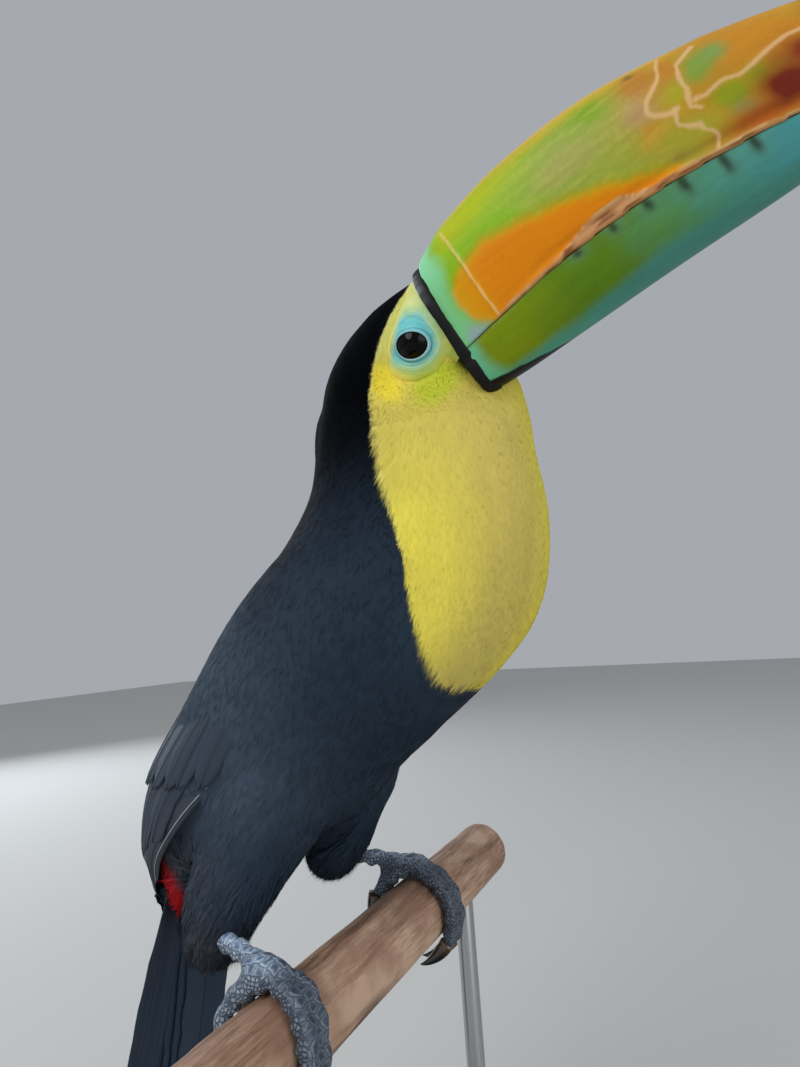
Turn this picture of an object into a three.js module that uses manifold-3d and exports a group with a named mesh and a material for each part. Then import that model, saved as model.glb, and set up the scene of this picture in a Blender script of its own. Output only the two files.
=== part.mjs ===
// A keel-billed toucan (Ramphastos sulfuratus) gripping a cut length of perch on a plain display
// stand: a still, life-size model. Millimetres, +Z up. The bird heads along +X, the perch runs
// along Y, and the origin is the middle of the stand base's underside.
import * as THREE from "three";
import Module from "manifold-3d";
import { mergeVertices } from "three/addons/utils/BufferGeometryUtils.js";

const wasm = await Module();
wasm.setup();

// ---------- driving sizes ----------
const GAP = 0.3; // clearance between pieces that touch
const FINEST = 0.03; // faces flatter than this are merged
const PERCH_MIDDLE = [14, 0, 158]; // perch axis midway between the feet
const PERCH_RADIUS = 12.3;
const PERCH_NEAR = -112; // cut ends of the perch, along Y
const PERCH_FAR = 112;

const HEAD_TURN = 8; // degrees, to the bird's right
const BILL_RISE = 19.5; // degrees above level
const HEAD_TILT = 31; // degrees, right cheek down
const BILL_BASE = [52.5, -10, 208]; // middle of the bill's base, from the perch middle
const BILL_LENGTH = 150;
const BAND_WIDTH = 3; // black band round the bill's base

const EYE_RADIUS = 7.2;
const EYE_PLACE = { along: -9.3, up: 3.4, out: 14.7 }; // in the head's own frame

const TAIL_ROOT = [-77, 0, 26];
const TAIL_LENGTH = 150;
const TAIL_LEAN = 13; // degrees back from plumb

// Each leg from the perch middle: side is 1 for the left and -1 for the right, thigh is how far out
// its low and high ends are and how high it ends, and splay is how far its front toes turn outwards.
const LEGS = {
  left: { side: 1, thigh: [30, 26.5, 15], ankle: [-33, 32, 19], foot: [-1, 36.5], splay: 0 },
  right: { side: -1, thigh: [37, 29, 10.5], ankle: [-33, -39.5, 18.5], foot: [-4, -52], splay: 9 },
};
const FOOT_HEIGHT = PERCH_RADIUS + 4.6; // the foot's middle over the perch axis

const STAND = { length: 190, width: 200, thick: 12, corner: 24, rodRadius: 4, rodNear: -84, rodFar: 84 };

// Ribs of the neck and trunk from the throat down to the tail's root: the back and the front of
// each rib in the bird's middle plane, and half the width. "full" moves the widest part forward.
const RIBS = [
  { name: "gullet", back: [3, 198.5], front: [62, 202], half: 18, full: 0 },
  { name: "throat", back: [-8.6, 187.5], front: [71, 189], half: 25, full: 0 },
  { name: "neck", back: [-10.4, 171], front: [74, 168], half: 29, full: 0.05 },
  { name: "neck_base", back: [-15, 154], front: [77, 148], half: 34, full: 0.05 },
  { name: "shoulder", back: [-25, 138], front: [76, 130], half: 39, full: 0 },
  { name: "breast", back: [-40, 119], front: [69, 108], half: 42, full: 0 },
  { name: "side", back: [-57, 94], front: [50, 88], half: 43, full: 0 },
  { name: "belly", back: [-73, 66], front: [16, 63], half: 42, full: 0 },
  { name: "flank", back: [-80, 42], front: [-5, 44], half: 38, full: 0 },
  { name: "vent", back: [-82, 22], front: [-36, 29], half: 26, full: 0 },
  { name: "rump", back: [-83, 8], front: [-61, 15], half: 15, full: 0 },
  { name: "tail_root", back: [-83, 1], front: [-70, 5], half: 8, full: 0 },
];
const NECK_ENDS = 3; // the rib where the neck meets the trunk

// Sections of the head, from the bill's base backwards: distance along the head's axis, the top
// and the bottom above it, and half the width.
const HEAD_SECTIONS = [
  { at: 0, top: 21.6, bottom: -20.5, half: 19.2 },
  { at: -9, top: 22.4, bottom: -25, half: 20.4 },
  { at: -21, top: 22.7, bottom: -28, half: 22 },
  { at: -35, top: 19.8, bottom: -28, half: 22.6 },
  { at: -47, top: 15.1, bottom: -24, half: 20 },
  { at: -56, top: 8.4, bottom: -17, half: 13.5 },
  { at: -61, top: -1, bottom: -9, half: 5 },
];

// Sections of the bill as fractions of its length: culmen, mouth line and lower edge above the
// axis, and half the width.
const BILL_SECTIONS = [
  { at: 0.02, culmen: 24, mouth: -8, keel: -21, half: 19.2 },
  { at: 0.1, culmen: 27.8, mouth: -6.5, keel: -23.2, half: 19.6 },
  { at: 0.25, culmen: 30.4, mouth: -4.5, keel: -24.6, half: 19 },
  { at: 0.45, culmen: 28.6, mouth: -4.5, keel: -25, half: 17 },
  { at: 0.65, culmen: 21.6, mouth: -8.5, keel: -25.4, half: 14.2 },
  { at: 0.8, culmen: 12.6, mouth: -13.5, keel: -24.8, half: 10.8 },
  { at: 0.92, culmen: 1.5, mouth: -18, keel: -22.6, half: 7 },
  { at: 0.975, culmen: -6, mouth: -19.6, keel: -21.4, half: 4 },
  { at: 1, culmen: -14, mouth: -22, keel: -21.6, half: 1.4 },
];
const LOWER_BILL_ENDS = 0.96; // the lower bill stops short of the upper one's hook

// ---------- small helpers ----------
const rad = (degrees) => (degrees * Math.PI) / 180;
const vec = (a) => new THREE.Vector3(...a);
const origin = vec(PERCH_MIDDLE);

// Catmull-Rom value of a list of numbers at a real index.
function curve(values, t) {
  const i = Math.min(Math.floor(t), values.length - 2);
  const at = (k) => {
    if (k < 0) return 2 * values[0] - values[1];
    if (k >= values.length) return 2 * values[values.length - 1] - values[values.length - 2];
    return values[k];
  };
  const f = t - i;
  const [a, b, c, d] = [at(i - 1), at(i), at(i + 1), at(i + 2)];
  return b + 0.5 * f * (c - a + f * (2 * a - 5 * b + 4 * c - d + f * (3 * (b - c) + d - a)));
}

// The same for a list of records: every numeric field at the place where "at" has the value given.
function sectionAt(sections, at) {
  const last = sections.length - 1;
  const rising = sections[last].at > sections[0].at;
  let k = 0;
  while (k < last - 1 && (rising ? at > sections[k + 1].at : at < sections[k + 1].at)) k++;
  const t = k + (at - sections[k].at) / (sections[k + 1].at - sections[k].at);
  const out = {};
  for (const key of Object.keys(sections[0])) out[key] = curve(sections.map((s) => s[key]), t);
  return out;
}

// A closed solid through rings of the same number of points, with a fan at each end.
function loft(rings) {
  const n = rings[0].length;
  const points = [];
  const index = [];
  for (const ring of rings) for (const p of ring) points.push(p.x, p.y, p.z);
  for (let r = 0; r + 1 < rings.length; r++) {
    for (let i = 0; i < n; i++) {
      const j = (i + 1) % n;
      const [a, b, c, d] = [r * n + i, r * n + j, (r + 1) * n + j, (r + 1) * n + i];
      index.push(a, b, c, a, c, d);
    }
  }
  for (const [r, flip] of [[0, true], [rings.length - 1, false]]) {
    const middle = new THREE.Vector3();
    for (const p of rings[r]) middle.addScaledVector(p, 1 / n);
    const m = points.push(middle.x, middle.y, middle.z) / 3 - 1;
    for (let i = 0; i < n; i++) {
      const [a, b] = [r * n + i, r * n + ((i + 1) % n)];
      index.push(...(flip ? [b, a, m] : [a, b, m]));
    }
  }
  const geometry = new THREE.BufferGeometry();
  geometry.setAttribute("position", new THREE.Float32BufferAttribute(points, 3));
  geometry.setIndex(index);
  return solid(geometry);
}

// A manifold solid of a geometry, turned outwards.
function solid(geometry) {
  const g = geometry.clone();
  g.deleteAttribute("normal");
  g.deleteAttribute("uv");
  const merged = mergeVertices(g, 1e-4);
  const triVerts = Uint32Array.from(merged.index.array);
  const p = merged.attributes.position.array;
  let volume = 0;
  for (let i = 0; i < triVerts.length; i += 3) {
    const [a, b, c] = [0, 1, 2].map((k) => new THREE.Vector3().fromArray(p, triVerts[i + k] * 3));
    volume += a.dot(b.cross(c));
  }
  if (volume < 0) for (let i = 0; i < triVerts.length; i += 3) {
    [triVerts[i], triVerts[i + 1]] = [triVerts[i + 1], triVerts[i]];
  }
  return new wasm.Manifold(new wasm.Mesh({ numProp: 3, vertProperties: p, triVerts }));
}

// An oval ring in the plane of two directions; "pinch" narrows it towards the first direction.
function oval(middle, up, side, top, bottom, half, count, pinch = 0) {
  const ring = [];
  for (let i = 0; i < count; i++) {
    const a = (i / count) * 2 * Math.PI;
    const v = (top + bottom) / 2 + ((top - bottom) / 2) * Math.cos(a);
    const w = half * Math.sin(a) * (1 - pinch * Math.cos(a));
    ring.push(middle.clone().addScaledVector(up, v).addScaledVector(side, w));
  }
  return ring;
}

// A round tube along a path whose radius changes; "flat" squashes it across the path's plane.
function tube(path, radii, count, side, flat = 1) {
  const rings = path.map((p, k) => {
    const next = path[Math.min(k + 1, path.length - 1)];
    const before = path[Math.max(k - 1, 0)];
    const along = next.clone().sub(before).normalize();
    const across = side.clone().addScaledVector(along, -side.dot(along)).normalize();
    const up = new THREE.Vector3().crossVectors(across, along);
    return oval(p, up, across, radii[k] * flat, -radii[k] * flat, radii[k], count);
  });
  return loft(rings);
}

const steps = (from, to, count) => (
  Array.from({ length: count + 1 }, (_, i) => from + ((to - from) * i) / count));

// ---------- the head's frame ----------
const forward = vec([
  Math.cos(rad(HEAD_TURN)) * Math.cos(rad(BILL_RISE)),
  -Math.sin(rad(HEAD_TURN)) * Math.cos(rad(BILL_RISE)),
  Math.sin(rad(BILL_RISE)),
]);
const levelRight = vec([-Math.sin(rad(HEAD_TURN)), -Math.cos(rad(HEAD_TURN)), 0]);
const plumbUp = new THREE.Vector3().crossVectors(levelRight, forward);
const headRight = levelRight.clone().multiplyScalar(Math.cos(rad(HEAD_TILT)))
  .addScaledVector(plumbUp, -Math.sin(rad(HEAD_TILT)));
const headUp = plumbUp.clone().multiplyScalar(Math.cos(rad(HEAD_TILT)))
  .addScaledVector(levelRight, Math.sin(rad(HEAD_TILT)));
const billBase = origin.clone().add(vec(BILL_BASE));
const inHead = (along, up, out) => billBase.clone().addScaledVector(forward, along)
  .addScaledVector(headUp, up).addScaledVector(headRight, out);

// ---------- head and bill ----------
function headSolid(grow) {
  const places = [0, -6, -12, -20, -28, -36, -43, -50, -56, -61];
  return loft(places.map((at, k) => {
    const s = sectionAt(HEAD_SECTIONS, at);
    const end = k === places.length - 1 ? -grow : k === 0 ? grow : 0;
    const middle = inHead(at + end, 0, 0);
    return oval(middle, headUp, headRight, s.top + grow, s.bottom - grow, s.half + grow, 22, 0.06);
  }));
}

// Cross-section of one half of the bill: a rounded roof or keel closed along the mouth line.
function billRing(section, place, upper, grow, count) {
  const ring = [];
  const mouth = section.mouth + (upper ? GAP / 2 : -GAP / 2) - (upper ? grow : -grow);
  const rise = upper
    ? Math.max(section.culmen + grow - mouth, 1.2) : Math.min(section.keel - grow - mouth, -1.2);
  const half = section.half + grow;
  for (let i = 0; i <= count; i++) {
    const a = (i / count) * Math.PI;
    const power = upper ? 0.86 : 0.7;
    const w = half * Math.sign(Math.cos(a)) * Math.abs(Math.cos(a)) ** power;
    ring.push(inHead(place, mouth + rise * Math.sin(a) ** (upper ? 0.92 : 0.8), w));
  }
  return ring;
}

function billSolid(upper, grow) {
  const start = BAND_WIDTH + GAP - grow;
  const end = BILL_LENGTH * (upper ? 1 : LOWER_BILL_ENDS);
  const places = steps(0, 1, 14).map((f) => start + (end - start) * (1 - (1 - f) ** 1.25));
  return loft(places.map((place, k) => {
    const section = sectionAt(BILL_SECTIONS, place / BILL_LENGTH);
    return billRing(section, place + (k === 14 ? grow : 0), upper, grow, 12);
  }));
}

function bandSolid(grow) {
  const s = sectionAt(HEAD_SECTIONS, 0);
  return loft([GAP - grow, (GAP + BAND_WIDTH) / 2, BAND_WIDTH + grow].map((at, k) => {
    const swell = grow + (k === 1 ? 0.9 : 0.5);
    const [top, bottom] = [s.top + 0.6 + swell, s.bottom - 0.3 - swell];
    return oval(inHead(at, 0, 0), headUp, headRight, top, bottom, s.half + swell, 22, 0.06);
  }));
}

function eyeSolid(side, grow) {
  const place = inHead(EYE_PLACE.along, EYE_PLACE.up, side * EYE_PLACE.out);
  const ball = new THREE.SphereGeometry(EYE_RADIUS + grow, 14, 8);
  return solid(ball.translate(place.x, place.y, place.z));
}

// ---------- neck and trunk ----------
function rib(t, grow, count) {
  const value = (pick) => curve(RIBS.map(pick), t);
  const back = vec([value((r) => r.back[0]), 0, value((r) => r.back[1])]).add(origin);
  const front = vec([value((r) => r.front[0]), 0, value((r) => r.front[1])]).add(origin);
  const middle = back.clone().add(front).multiplyScalar(0.5);
  const depth = front.distanceTo(back) / 2 + grow;
  const toFront = front.sub(back).normalize();
  const half = value((r) => r.half) + grow;
  return oval(middle, toFront, vec([0, 1, 0]), depth, -depth, half, count, -value((r) => r.full));
}

function bodySolid(from, to, count, grow) {
  return loft(steps(from, to, count).map((t) => rib(t, grow, 24)));
}

const eyes = { left: eyeSolid(-1, 0), right: eyeSolid(1, 0) };
const head = headSolid(0).subtract(eyeSolid(-1, GAP)).subtract(eyeSolid(1, GAP));
const band = bandSolid(0);
const billUpper = billSolid(true, 0);
const billLower = billSolid(false, 0);
const trunk = bodySolid(NECK_ENDS + 0.02, RIBS.length - 1, 16, 0);
const trunkRoom = bodySolid(NECK_ENDS, RIBS.length - 1, 16, GAP);
const neck = bodySolid(0, NECK_ENDS, 6, 0).subtract(headSolid(GAP)).subtract(bandSolid(GAP))
  .subtract(billSolid(false, GAP)).subtract(billSolid(true, GAP));

// ---------- tail and its coverts ----------
const tailDown = vec([-Math.sin(rad(TAIL_LEAN)), 0, -Math.cos(rad(TAIL_LEAN))]);
const tailFront = vec([Math.cos(rad(TAIL_LEAN)), 0, -Math.sin(rad(TAIL_LEAN))]);
const across = vec([0, 1, 0]);
const tailRoot = origin.clone().add(vec(TAIL_ROOT));

// A flat, arched blade hanging along the tail: sections give the place, half width and thickness.
function blade(sections, shift, arch, grow, count) {
  return loft(sections.map(([at, half, thick], k) => {
    const end = k === 0 ? -grow : k === sections.length - 1 ? grow : 0;
    const middle = tailRoot.clone().addScaledVector(tailDown, at + end).addScaledVector(tailFront, shift);
    return oval(middle, tailFront, across, thick / 2 + grow, -thick / 2 - grow, half + grow, count)
      .map((p) => p.addScaledVector(tailFront, arch * ((p.y - middle.y) / half) ** 2));
  }));
}

const TAIL = [[10, 20, 8], [40, 25, 8], [80, 26.5, 6.5], [120, 27, 4.5], [140, 24.5, 3], [TAIL_LENGTH, 14, 1.6]];
const TAIL_SHIFT = -1.5; // the tail's middle in front of its root
const OVER_SHIFT = -6; // and that of the coverts over it
const OVER_TAIL = [[6, 11, 6.5], [16, 12, 5.5], [28, 11, 4], [42, 7, 1.6]];
const UNDER_TAIL = [[-4, 18, 22], [8, 18, 21], [17, 14, 13], [26, 8, 3]];
const tail = blade(TAIL, TAIL_SHIFT, 5, 0, 14).subtract(trunkRoom);
const tailRoom = blade(TAIL, TAIL_SHIFT, 5, GAP, 14);
const overTail = blade(OVER_TAIL, OVER_SHIFT, 4, 0, 14).subtract(trunkRoom).subtract(tailRoom);
const underTail = blade(UNDER_TAIL, 9, 3, 0, 14).subtract(trunkRoom).subtract(tailRoom)
  .subtract(blade(OVER_TAIL, OVER_SHIFT, 4, GAP, 14));

// ---------- wings ----------
// Each wing is a crescent over the ribs: its upper and lower edges are angles round the rib from
// the breast (0) to the back (180).
const WING = [
  { at: 3.55, upper: 118, lower: 92, thick: 3.5 },
  { at: 4, upper: 140, lower: 72, thick: 6 },
  { at: 5, upper: 158, lower: 66, thick: 7.5 },
  { at: 6, upper: 168, lower: 72, thick: 7.5 },
  { at: 7, upper: 175, lower: 84, thick: 7 },
  { at: 8, upper: 178, lower: 98, thick: 6.5 },
  { at: 9, upper: 178, lower: 116, thick: 5.5 },
  { at: 9.8, upper: 174, lower: 132, thick: 6 },
  { at: 10.5, upper: 164, lower: 146, thick: 5 },
];

function wingWhole(side, grow) {
  const places = steps(WING[0].at, WING[WING.length - 1].at, 13);
  return loft(places.map((at, k) => {
    const s = sectionAt(WING, at);
    const end = (k === 0 ? -1 : k === 13 ? 1 : 0) * grow * 0.03;
    const inner = rib(at + end, 0.2, 360);
    const outer = rib(at + end, 0.2 + s.thick, 360);
    const spread = (grow / 40) * (180 / Math.PI);
    const ring = [];
    const push = (i, height) => {
      const a = 360 + side * Math.round(s.lower - spread + ((s.upper - s.lower + 2 * spread) * i) / 8);
      ring.push(inner[a % 360].clone().lerp(outer[a % 360], height));
    };
    for (let i = 0; i <= 8; i++) push(i, 0.16 + 0.84 * Math.sin((Math.PI * i) / 8) ** 0.6 + grow / s.thick);
    for (let i = 8; i >= 0; i--) push(i, -1.5 / s.thick);
    return ring;
  }));
}

const wingSolid = (side) => wingWhole(side, 0).subtract(trunkRoom).subtract(tailRoom)
  .subtract(blade(OVER_TAIL, OVER_SHIFT, 4, GAP, 14)).subtract(blade(UNDER_TAIL, 9, 3, GAP, 14));

// ---------- legs ----------
// Toes run round the perch: angles are measured from the breast side (0) over the top (90), and
// the places along the perch run outwards from the foot's middle.
const TOES = [
  { name: "front_inner", from: 74, to: -34, start: -3.5, end: -3.5, thick: 3.1, claw: 50 },
  { name: "front_outer", from: 74, to: -42, start: 3.8, end: 3.8, thick: 3.2, claw: 50 },
  { name: "back_inner", from: 106, to: 158, start: -3.6, end: -6, thick: 3, claw: 40 },
  { name: "back_outer", from: 106, to: 182, start: 3.6, end: 6, thick: 3.1, claw: 42 },
];
const sideways = vec([0, 1, 0]);

function leg({ side, thigh: [low, high, end], ankle, foot, splay }, wingRoom) {
  const place = (x, y, z) => origin.clone().add(vec([x, y, z]));
  const footMiddle = place(foot[0], foot[1], FOOT_HEIGHT);
  const thighPath = [
    [-17, 22, 66], [-21, high - 2, 50], [-27, (low + high) / 2, 38],
    [-31, low, 28], [-34, low, 21], [-36, low, end],
  ].map(([x, y, z]) => place(x, side * y, z));
  const thighRadii = [22, 19, 15.5, 13, 10.5, 6.5];
  const thighSolid = (grow) => tube(thighPath, thighRadii.map((r) => r + grow), 14, sideways);
  const shank = steps(0, 1, 5).map((f) => place(...ankle).lerp(footMiddle, f)
    .add(vec([0, 0, 1.2 * Math.sin(Math.PI * f)])));
  const shankRadii = [4.2, 3.5, 3.1, 3.1, 3.4, 4];
  const shankSolid = (grow) => tube(shank, shankRadii.map((r) => r + grow), 10, sideways);
  const palmSolid = (grow) => {
    const ball = new THREE.SphereGeometry(1, 14, 8);
    ball.scale(7.8 + grow, 6.6 + grow, 4.2 + grow).translate(footMiddle.x, footMiddle.y, footMiddle.z);
    return solid(ball);
  };
  const perchRoom = solid(new THREE.CylinderGeometry(PERCH_RADIUS + GAP, PERCH_RADIUS + GAP, 60, 40)
    .translate(origin.x, footMiddle.y, origin.z));
  const pieces = {
    thigh: thighSolid(0).subtract(trunkRoom).subtract(wingRoom),
    tarsus: shankSolid(0).subtract(thighSolid(GAP)).subtract(palmSolid(GAP)),
    foot: palmSolid(0).subtract(perchRoom),
  };
  for (const toe of TOES) {
    const radius = PERCH_RADIUS + toe.thick + 0.4;
    const round = (angle, y, r) => origin.clone()
      .add(vec([r * Math.cos(rad(angle)), foot[1] + side * y, r * Math.sin(rad(angle))]));
    const out = toe.end + (toe.name.startsWith("front") ? splay : 0);
    const path = steps(0, 1, 8).map((f) => (
      round(toe.from + (toe.to - toe.from) * f, toe.start + (out - toe.start) * f, radius)));
    const radii = steps(0, 1, 8).map((f) => (
      toe.thick * (1 - 0.14 * f) * (1 + 0.05 * Math.cos(f * 6 * Math.PI))));
    const onwards = Math.sign(toe.to - toe.from);
    const clawPath = steps(0, 1, 4).map((f) => (
      round(toe.to + onwards * (1.4 + toe.claw * f), out, radius + 0.4 - 0.8 * f + 4 * f * f)));
    pieces[`toe_${toe.name}`] = tube(path, radii, 8, sideways).subtract(palmSolid(GAP))
      .subtract(shankSolid(GAP));
    pieces[`claw_${toe.name}`] = tube(clawPath, steps(0, 1, 4).map((f) => 2.9 - 2.1 * f ** 1.5), 6, sideways)
      .subtract(tube(path, radii.map((r) => r + GAP), 8, sideways)).subtract(perchRoom);
  }
  return pieces;
}

// ---------- perch and stand ----------
const perchMiddle = (PERCH_NEAR + PERCH_FAR) / 2;
const perchCylinder = (radius) => solid(new THREE.CylinderGeometry(
  radius, radius, PERCH_FAR - PERCH_NEAR, 32).translate(origin.x, perchMiddle, origin.z));
const perch = perchCylinder(PERCH_RADIUS);

function rod(y) {
  const bottom = STAND.thick + GAP;
  const height = PERCH_MIDDLE[2] - bottom;
  const shaft = new THREE.CylinderGeometry(STAND.rodRadius, STAND.rodRadius, height, 16).rotateX(Math.PI / 2)
    .translate(origin.x, y, bottom + height / 2);
  return solid(shaft).subtract(perchCylinder(PERCH_RADIUS + GAP));
}

function standBase() {
  const [x, y, c] = [STAND.length / 2, STAND.width / 2, STAND.corner];
  const shape = new THREE.Shape();
  shape.moveTo(-x + c, -y);
  shape.lineTo(x - c, -y);
  shape.absarc(x - c, -y + c, c, -Math.PI / 2, 0);
  shape.absarc(x - c, y - c, c, 0, Math.PI / 2);
  shape.absarc(-x + c, y - c, c, Math.PI / 2, Math.PI);
  shape.absarc(-x + c, -y + c, c, Math.PI, Math.PI * 1.5);
  const plate = { depth: STAND.thick, bevelEnabled: false, curveSegments: 5 };
  return solid(new THREE.ExtrudeGeometry(shape, plate));
}

// ---------- the part ----------
const finish = (color, roughness, metalness = 0) => (
  new THREE.MeshStandardMaterial({ color, roughness, metalness }));
const LOOKS = {
  black: finish(0x14151a, 0.8),
  yellow: finish(0xe8dc32, 0.8),
  red: finish(0xa31f1a, 0.8),
  cream: finish(0xeee6cf, 0.8),
  eye: finish(0x1a0f0a, 0.15),
  billGreen: finish(0x9cc43a, 0.35),
  billTeal: finish(0x5fb98a, 0.35),
  band: finish(0x101010, 0.5),
  foot: finish(0x6f8796, 0.6),
  claw: finish(0x3a2c24, 0.35),
  wood: finish(0xa5785a, 0.75),
  stand: finish(0x3b3d40, 0.5),
  rod: finish(0xb4b6b8, 0.35, 0.9),
};

const part = new THREE.Group();
part.name = "keel_billed_toucan";

function add(name, manifold, material) {
  const mesh = manifold.simplify(FINEST).getMesh();
  const geometry = new THREE.BufferGeometry();
  geometry.setAttribute("position", new THREE.BufferAttribute(Float32Array.from(mesh.vertProperties), 3));
  geometry.setIndex(new THREE.BufferAttribute(Uint32Array.from(mesh.triVerts), 1));
  geometry.computeVertexNormals();
  const node = new THREE.Mesh(geometry, material);
  node.name = name;
  part.add(node);
}

add("head", head, LOOKS.black);
add("eye_left", eyes.left, LOOKS.eye);
add("eye_right", eyes.right, LOOKS.eye);
add("bill_band", band, LOOKS.band);
add("bill_upper", billUpper, LOOKS.billGreen);
add("bill_lower", billLower, LOOKS.billTeal);
add("neck", neck, LOOKS.yellow);
add("trunk", trunk, LOOKS.black);
add("tail", tail, LOOKS.black);
add("tail_coverts_over", overTail, LOOKS.cream);
add("tail_coverts_under", underTail, LOOKS.red);
for (const [name, place] of Object.entries(LEGS)) {
  add(`wing_${name}`, wingSolid(place.side), LOOKS.black);
  const pieces = leg(place, wingWhole(place.side, 2 * GAP));
  for (const [piece, shape] of Object.entries(pieces)) {
    const look = piece.startsWith("claw") ? LOOKS.claw : piece === "thigh" ? LOOKS.black : LOOKS.foot;
    add(`${piece}_${name}`, shape, look);
  }
}
add("perch", perch, LOOKS.wood);
add("stand_base", standBase(), LOOKS.stand);
add("stand_rod_near", rod(STAND.rodNear), LOOKS.rod);
add("stand_rod_far", rod(STAND.rodFar), LOOKS.rod);

export default part;
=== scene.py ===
"""A life-size keel-billed toucan gripping a cut length of perch on a plain display stand.

Numbers are millimetres in the part's own frame: +Z up, the bird heads along +X, the perch runs
along Y, and the origin is the middle of the stand base's underside. Meshes are written in metres.
"""
import logging
import math
from collections.abc import Callable
from dataclasses import dataclass
from enum import Enum

import bmesh
import bpy
import numpy as np
from mathutils import Matrix, Vector
from mathutils.bvhtree import BVHTree


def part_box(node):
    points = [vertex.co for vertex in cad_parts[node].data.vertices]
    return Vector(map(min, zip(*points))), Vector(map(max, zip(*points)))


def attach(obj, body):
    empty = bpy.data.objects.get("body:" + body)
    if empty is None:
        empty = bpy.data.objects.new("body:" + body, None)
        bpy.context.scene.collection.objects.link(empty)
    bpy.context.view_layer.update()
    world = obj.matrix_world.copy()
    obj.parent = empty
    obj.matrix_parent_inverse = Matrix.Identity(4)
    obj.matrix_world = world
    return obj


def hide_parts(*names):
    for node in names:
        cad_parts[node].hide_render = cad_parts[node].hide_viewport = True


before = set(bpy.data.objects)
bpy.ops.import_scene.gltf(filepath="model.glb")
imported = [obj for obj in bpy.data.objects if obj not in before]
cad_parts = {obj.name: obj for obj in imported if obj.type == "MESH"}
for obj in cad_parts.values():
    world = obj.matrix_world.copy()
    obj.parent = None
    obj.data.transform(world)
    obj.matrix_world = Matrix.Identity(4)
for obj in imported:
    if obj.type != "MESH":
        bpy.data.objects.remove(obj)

log = logging.getLogger("toucan")

Array = np.ndarray
Object = bpy.types.Object
Material = bpy.types.Material
Tree = bpy.types.NodeTree
Node = bpy.types.Node
Socket = bpy.types.NodeSocket
Pair = tuple[float, float]
Triple = tuple[float, float, float]
Table = tuple[tuple[float, ...], ...]

MM = 0.001

PERCH_MIDDLE = np.array([14.0, 0.0, 158.0])
PERCH_RADIUS = 12.3
BILL_LENGTH = 150.0
BILL_BASE = PERCH_MIDDLE + np.array([52.5, -10.0, 208.0])
HEAD_TURN, BILL_RISE, HEAD_TILT = 8.0, 19.5, 31.0
TAIL_ROOT = PERCH_MIDDLE + np.array([-77.0, 0.0, 26.0])
TAIL_LEAN = 13.0
EYE_RADIUS = 7.2
SIDES = {"left": 1.0, "right": -1.0}
TOES = ("front_inner", "front_outer", "back_inner", "back_outer")
PATCH = 0.003
SMOOTH_ANGLE = math.radians(40)
WAVE = 2 * math.pi


class Slot(Enum):
    """The material slots."""

    BLACK = "plumage_black"
    YELLOW = "plumage_yellow"
    RED = "plumage_red"
    EYE = "eye"
    BAND = "bill_band"
    UPPER = "bill_upper"
    LOWER = "bill_lower"
    CLAW = "claw_horn"
    PERCH = "perch_wood"
    BASE = "stand_base"
    ROD = "stand_rod"


# ---- numbers and fields


def srgb(red: float, green: float, blue: float) -> Array:
    """Linear colour of a display colour given from 0 to 255."""
    value = np.array([red, green, blue]) / 255.0
    return np.where(value <= 0.04045, value / 12.92, ((value + 0.055) / 1.055) ** 2.4)


def unit(vectors: Array) -> Array:
    """Vectors scaled to length one."""
    return vectors / np.maximum(np.linalg.norm(vectors, axis=-1, keepdims=True), 1e-9)


def smooth(low: float, high: float, value: Array) -> Array:
    """Smooth step from 0 at low to 1 at high."""
    t = np.clip((np.asarray(value, float) - low) / (high - low), 0, 1)
    return t * t * (3 - 2 * t)


def mix(first: Array, second: Array, share: Array) -> Array:
    """Colours between first and second; share has one number for each point."""
    share = np.asarray(share, float)[..., None]
    return first * (1 - share) + second * share


def overlay(colour: Array, *layers: tuple[Triple, Array]) -> Array:
    """A colour with layers laid over it, each a display colour and its share."""
    for tint, share in layers:
        colour = mix(colour, srgb(*tint), share)
    return colour


def bell(value: Array, width: float) -> Array:
    """Smooth hump: 1 where the value is 0, little beyond the width."""
    return np.exp(-((value / width) ** 2))


def catmull(values: Array, t: Array) -> Array:
    """Catmull-Rom values of the rows of a table at real row numbers.

    Args:
        values: a table whose rows are the knots.
        t: real row numbers.

    Returns:
        One interpolated row for each entry of t.
    """
    t = np.asarray(t, float)
    padded = np.concatenate([2 * values[:1] - values[1:2], values, 2 * values[-1:] - values[-2:-1]])
    i = np.clip(np.floor(t).astype(int), 0, len(values) - 2)
    f = (t - i)[..., None]
    a, b, c, d = (padded[i + k] for k in range(4))
    return b + 0.5 * f * (c - a + f * (2 * a - 5 * b + 4 * c - d + f * (3 * (b - c) + d - a)))


def cell_key(cells: Array) -> Array:
    """One whole number for each cell of a grid."""
    return cells[:, 0] * 73856093 ^ cells[:, 1] * 19349663 ^ cells[:, 2] * 83492791


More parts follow.
